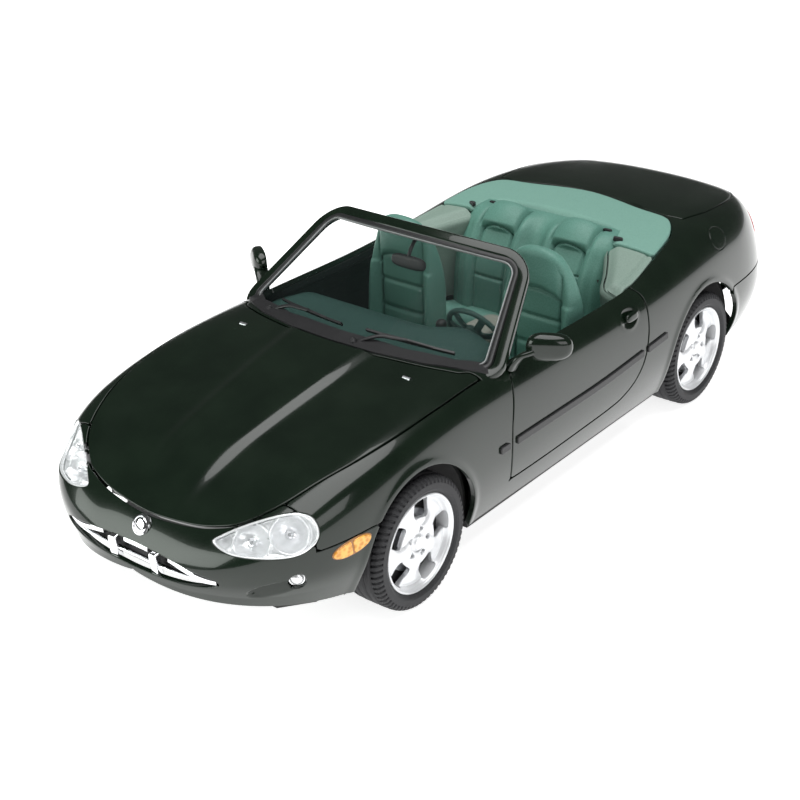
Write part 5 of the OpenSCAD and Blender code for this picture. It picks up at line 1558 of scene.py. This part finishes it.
for side, word in SIDES:
    fit(lathe(f"exhaust_{word}", [(1.6, 0), (1.95, 0), (2.0, -0.4), (1.9, -12), (0, -12), (0, -6),
              (1.55, -6), (1.6, 0)], CHROME, (side * 27, 128.0, 14.8), (0, 1, 0), 36), "car", "chrome_plating")
x = np.linspace(-30, 30, 60)
path = np.stack([x, rear_y(x, STRIP_LOW_Z + 0 * x) + 0.1, STRIP_LOW_Z + 0 * x], -1)
fit(ribbon("rear_bumper_strip", path, (0, 0, 1), round_section(0.7, 1.6, 3, 12), BLACK), "car", "black_trim")

# ---------------------------------------------------------------- materials of kept CAD nodes
KEPT = {
    BASE_BLACK: ["chassis_base", "arch_liners", "axle_bridge", "hinge_brackets", "trunk_tub",
                 "radiator"],
    STEEL: ["tie_rod", "knuckle_left", "knuckle_right", "rear_axle", "hinge_arms_hood",
            "hinge_arms_trunk", "hinge_arms_door_left", "hinge_arms_door_right"],
    ENGINE_GREY: ["engine"],
    CARPET: ["interior_tub"],
    LEATHER: ["seat_left", "seat_right", "rear_seat", "dashboard", "centre_console"],
    DECK: ["tonneau_cover"],
    BLACK: ["door_trim_left", "door_trim_right", "steering_wheel", "cowl_panel", "wipers",
            "windscreen_seal", "rear_view_mirror", "sun_visors", "rub_strips_body",
            "rub_strip_door_left", "rub_strip_door_right", "grille_insert"],
    PAINT: ["windscreen_frame", "mirror_left", "mirror_right", "door_handle_left",
            "door_handle_right"],
    MIRROR: ["mirror_glass_left", "mirror_glass_right"],
    GLASS: ["windscreen_glass"],
    LENS: ["headlamp_lenses"],
    CHROME: ["headlamp_reflectors", "grille_chrome", "front_trim"],
    RED: ["rear_trim"],
    SILVER: ["rim_front_left", "rim_front_right", "rim_rear_left", "rim_rear_right"],
    RUBBER: ["tyre_front_left", "tyre_front_right", "tyre_rear_left", "tyre_rear_right"],
}
for mat, names in KEPT.items():
    for name in names:
        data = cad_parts[name].data
        data.materials.clear()
        data.materials.append(mat)

# ---------------------------------------------------------------- stage, light and camera
def stage():
    """A pale paper floor that glows a little, so that it stays white without a hard shadow."""
    size = 6.0
    mesh = bpy.data.meshes.new("floor")
    mesh.from_pydata([(-size, -size, 0), (size, -size, 0), (size, size, 0), (-size, size, 0)], [],
                     [(0, 1, 2, 3)])
    floor = new_object("floor", mesh)
    paper = grain(material("floor_paper", (0.92, 0.92, 0.92), 0.7), 40, 0.02, 0.0005, 2,
                  color_span=((0.90, 0.90, 0.90), (0.93, 0.93, 0.93)))
    shader = paper.node_tree.nodes["Principled BSDF"]
    shader.inputs["Emission Color"].default_value = (1, 1, 1, 1)
    shader.inputs["Emission Strength"].default_value = 0.8
    floor.data.materials.append(paper)


def soft_light(name, place, target, width, height, power, color=(1, 1, 1)):
    """A rectangular light, in metres and watts, aimed at target."""
    lamp = bpy.data.lights.new(name, "AREA")
    lamp.shape = "RECTANGLE"
    lamp.size, lamp.size_y = width, height
    lamp.energy = power
    lamp.color = color
    obj = bpy.data.objects.new(name, lamp)
    bpy.context.scene.collection.objects.link(obj)
    obj.location = place
    aim = Vector(target) - Vector(place)
    obj.rotation_euler = aim.to_track_quat("-Z", "Y").to_euler()
    return obj


stage()
world = bpy.data.worlds.new("studio")
bpy.context.scene.world = world
world.use_nodes = True
world.node_tree.nodes["Background"].inputs["Color"].default_value = (1, 1, 1, 1)
world.node_tree.nodes["Background"].inputs["Strength"].default_value = 0.07
soft_light("overhead", (0.15, 0.0, 2.2), (0, 0, 0), 2.3, 2.3, 66)
soft_light("side", (1.75, -0.4, 0.75), (0, 0, 0.03), 1.4, 0.8, 9)
soft_light("front", (-0.95, -1.45, 0.6), (0, -0.1, 0.03), 1.3, 0.8, 15, (0.93, 1.0, 0.94))
bpy.context.scene.view_settings.view_transform = "Standard"


def camera():
    """The photograph's viewpoint, solved from the wheels, the windscreen and the nose."""
    cam = bpy.data.cameras.new("camera")
    cam.lens, cam.sensor_width = 71.76, 36.0
    cam.clip_start, cam.clip_end = 0.02, 30
    obj = bpy.data.objects.new("camera", cam)
    bpy.context.scene.collection.objects.link(obj)
    right, up, back = (0.7847, 0.6196, -0.0181), (-0.2691, 0.3669, 0.8905), (0.5583, -0.6939, 0.4547)
    turn = Matrix([[right[k], up[k], back[k]] for k in range(3)]).to_4x4()
    obj.matrix_world = Matrix.Translation((0.26031, -0.34904, 0.23534)) @ turn
    bpy.context.scene.camera = obj


camera()
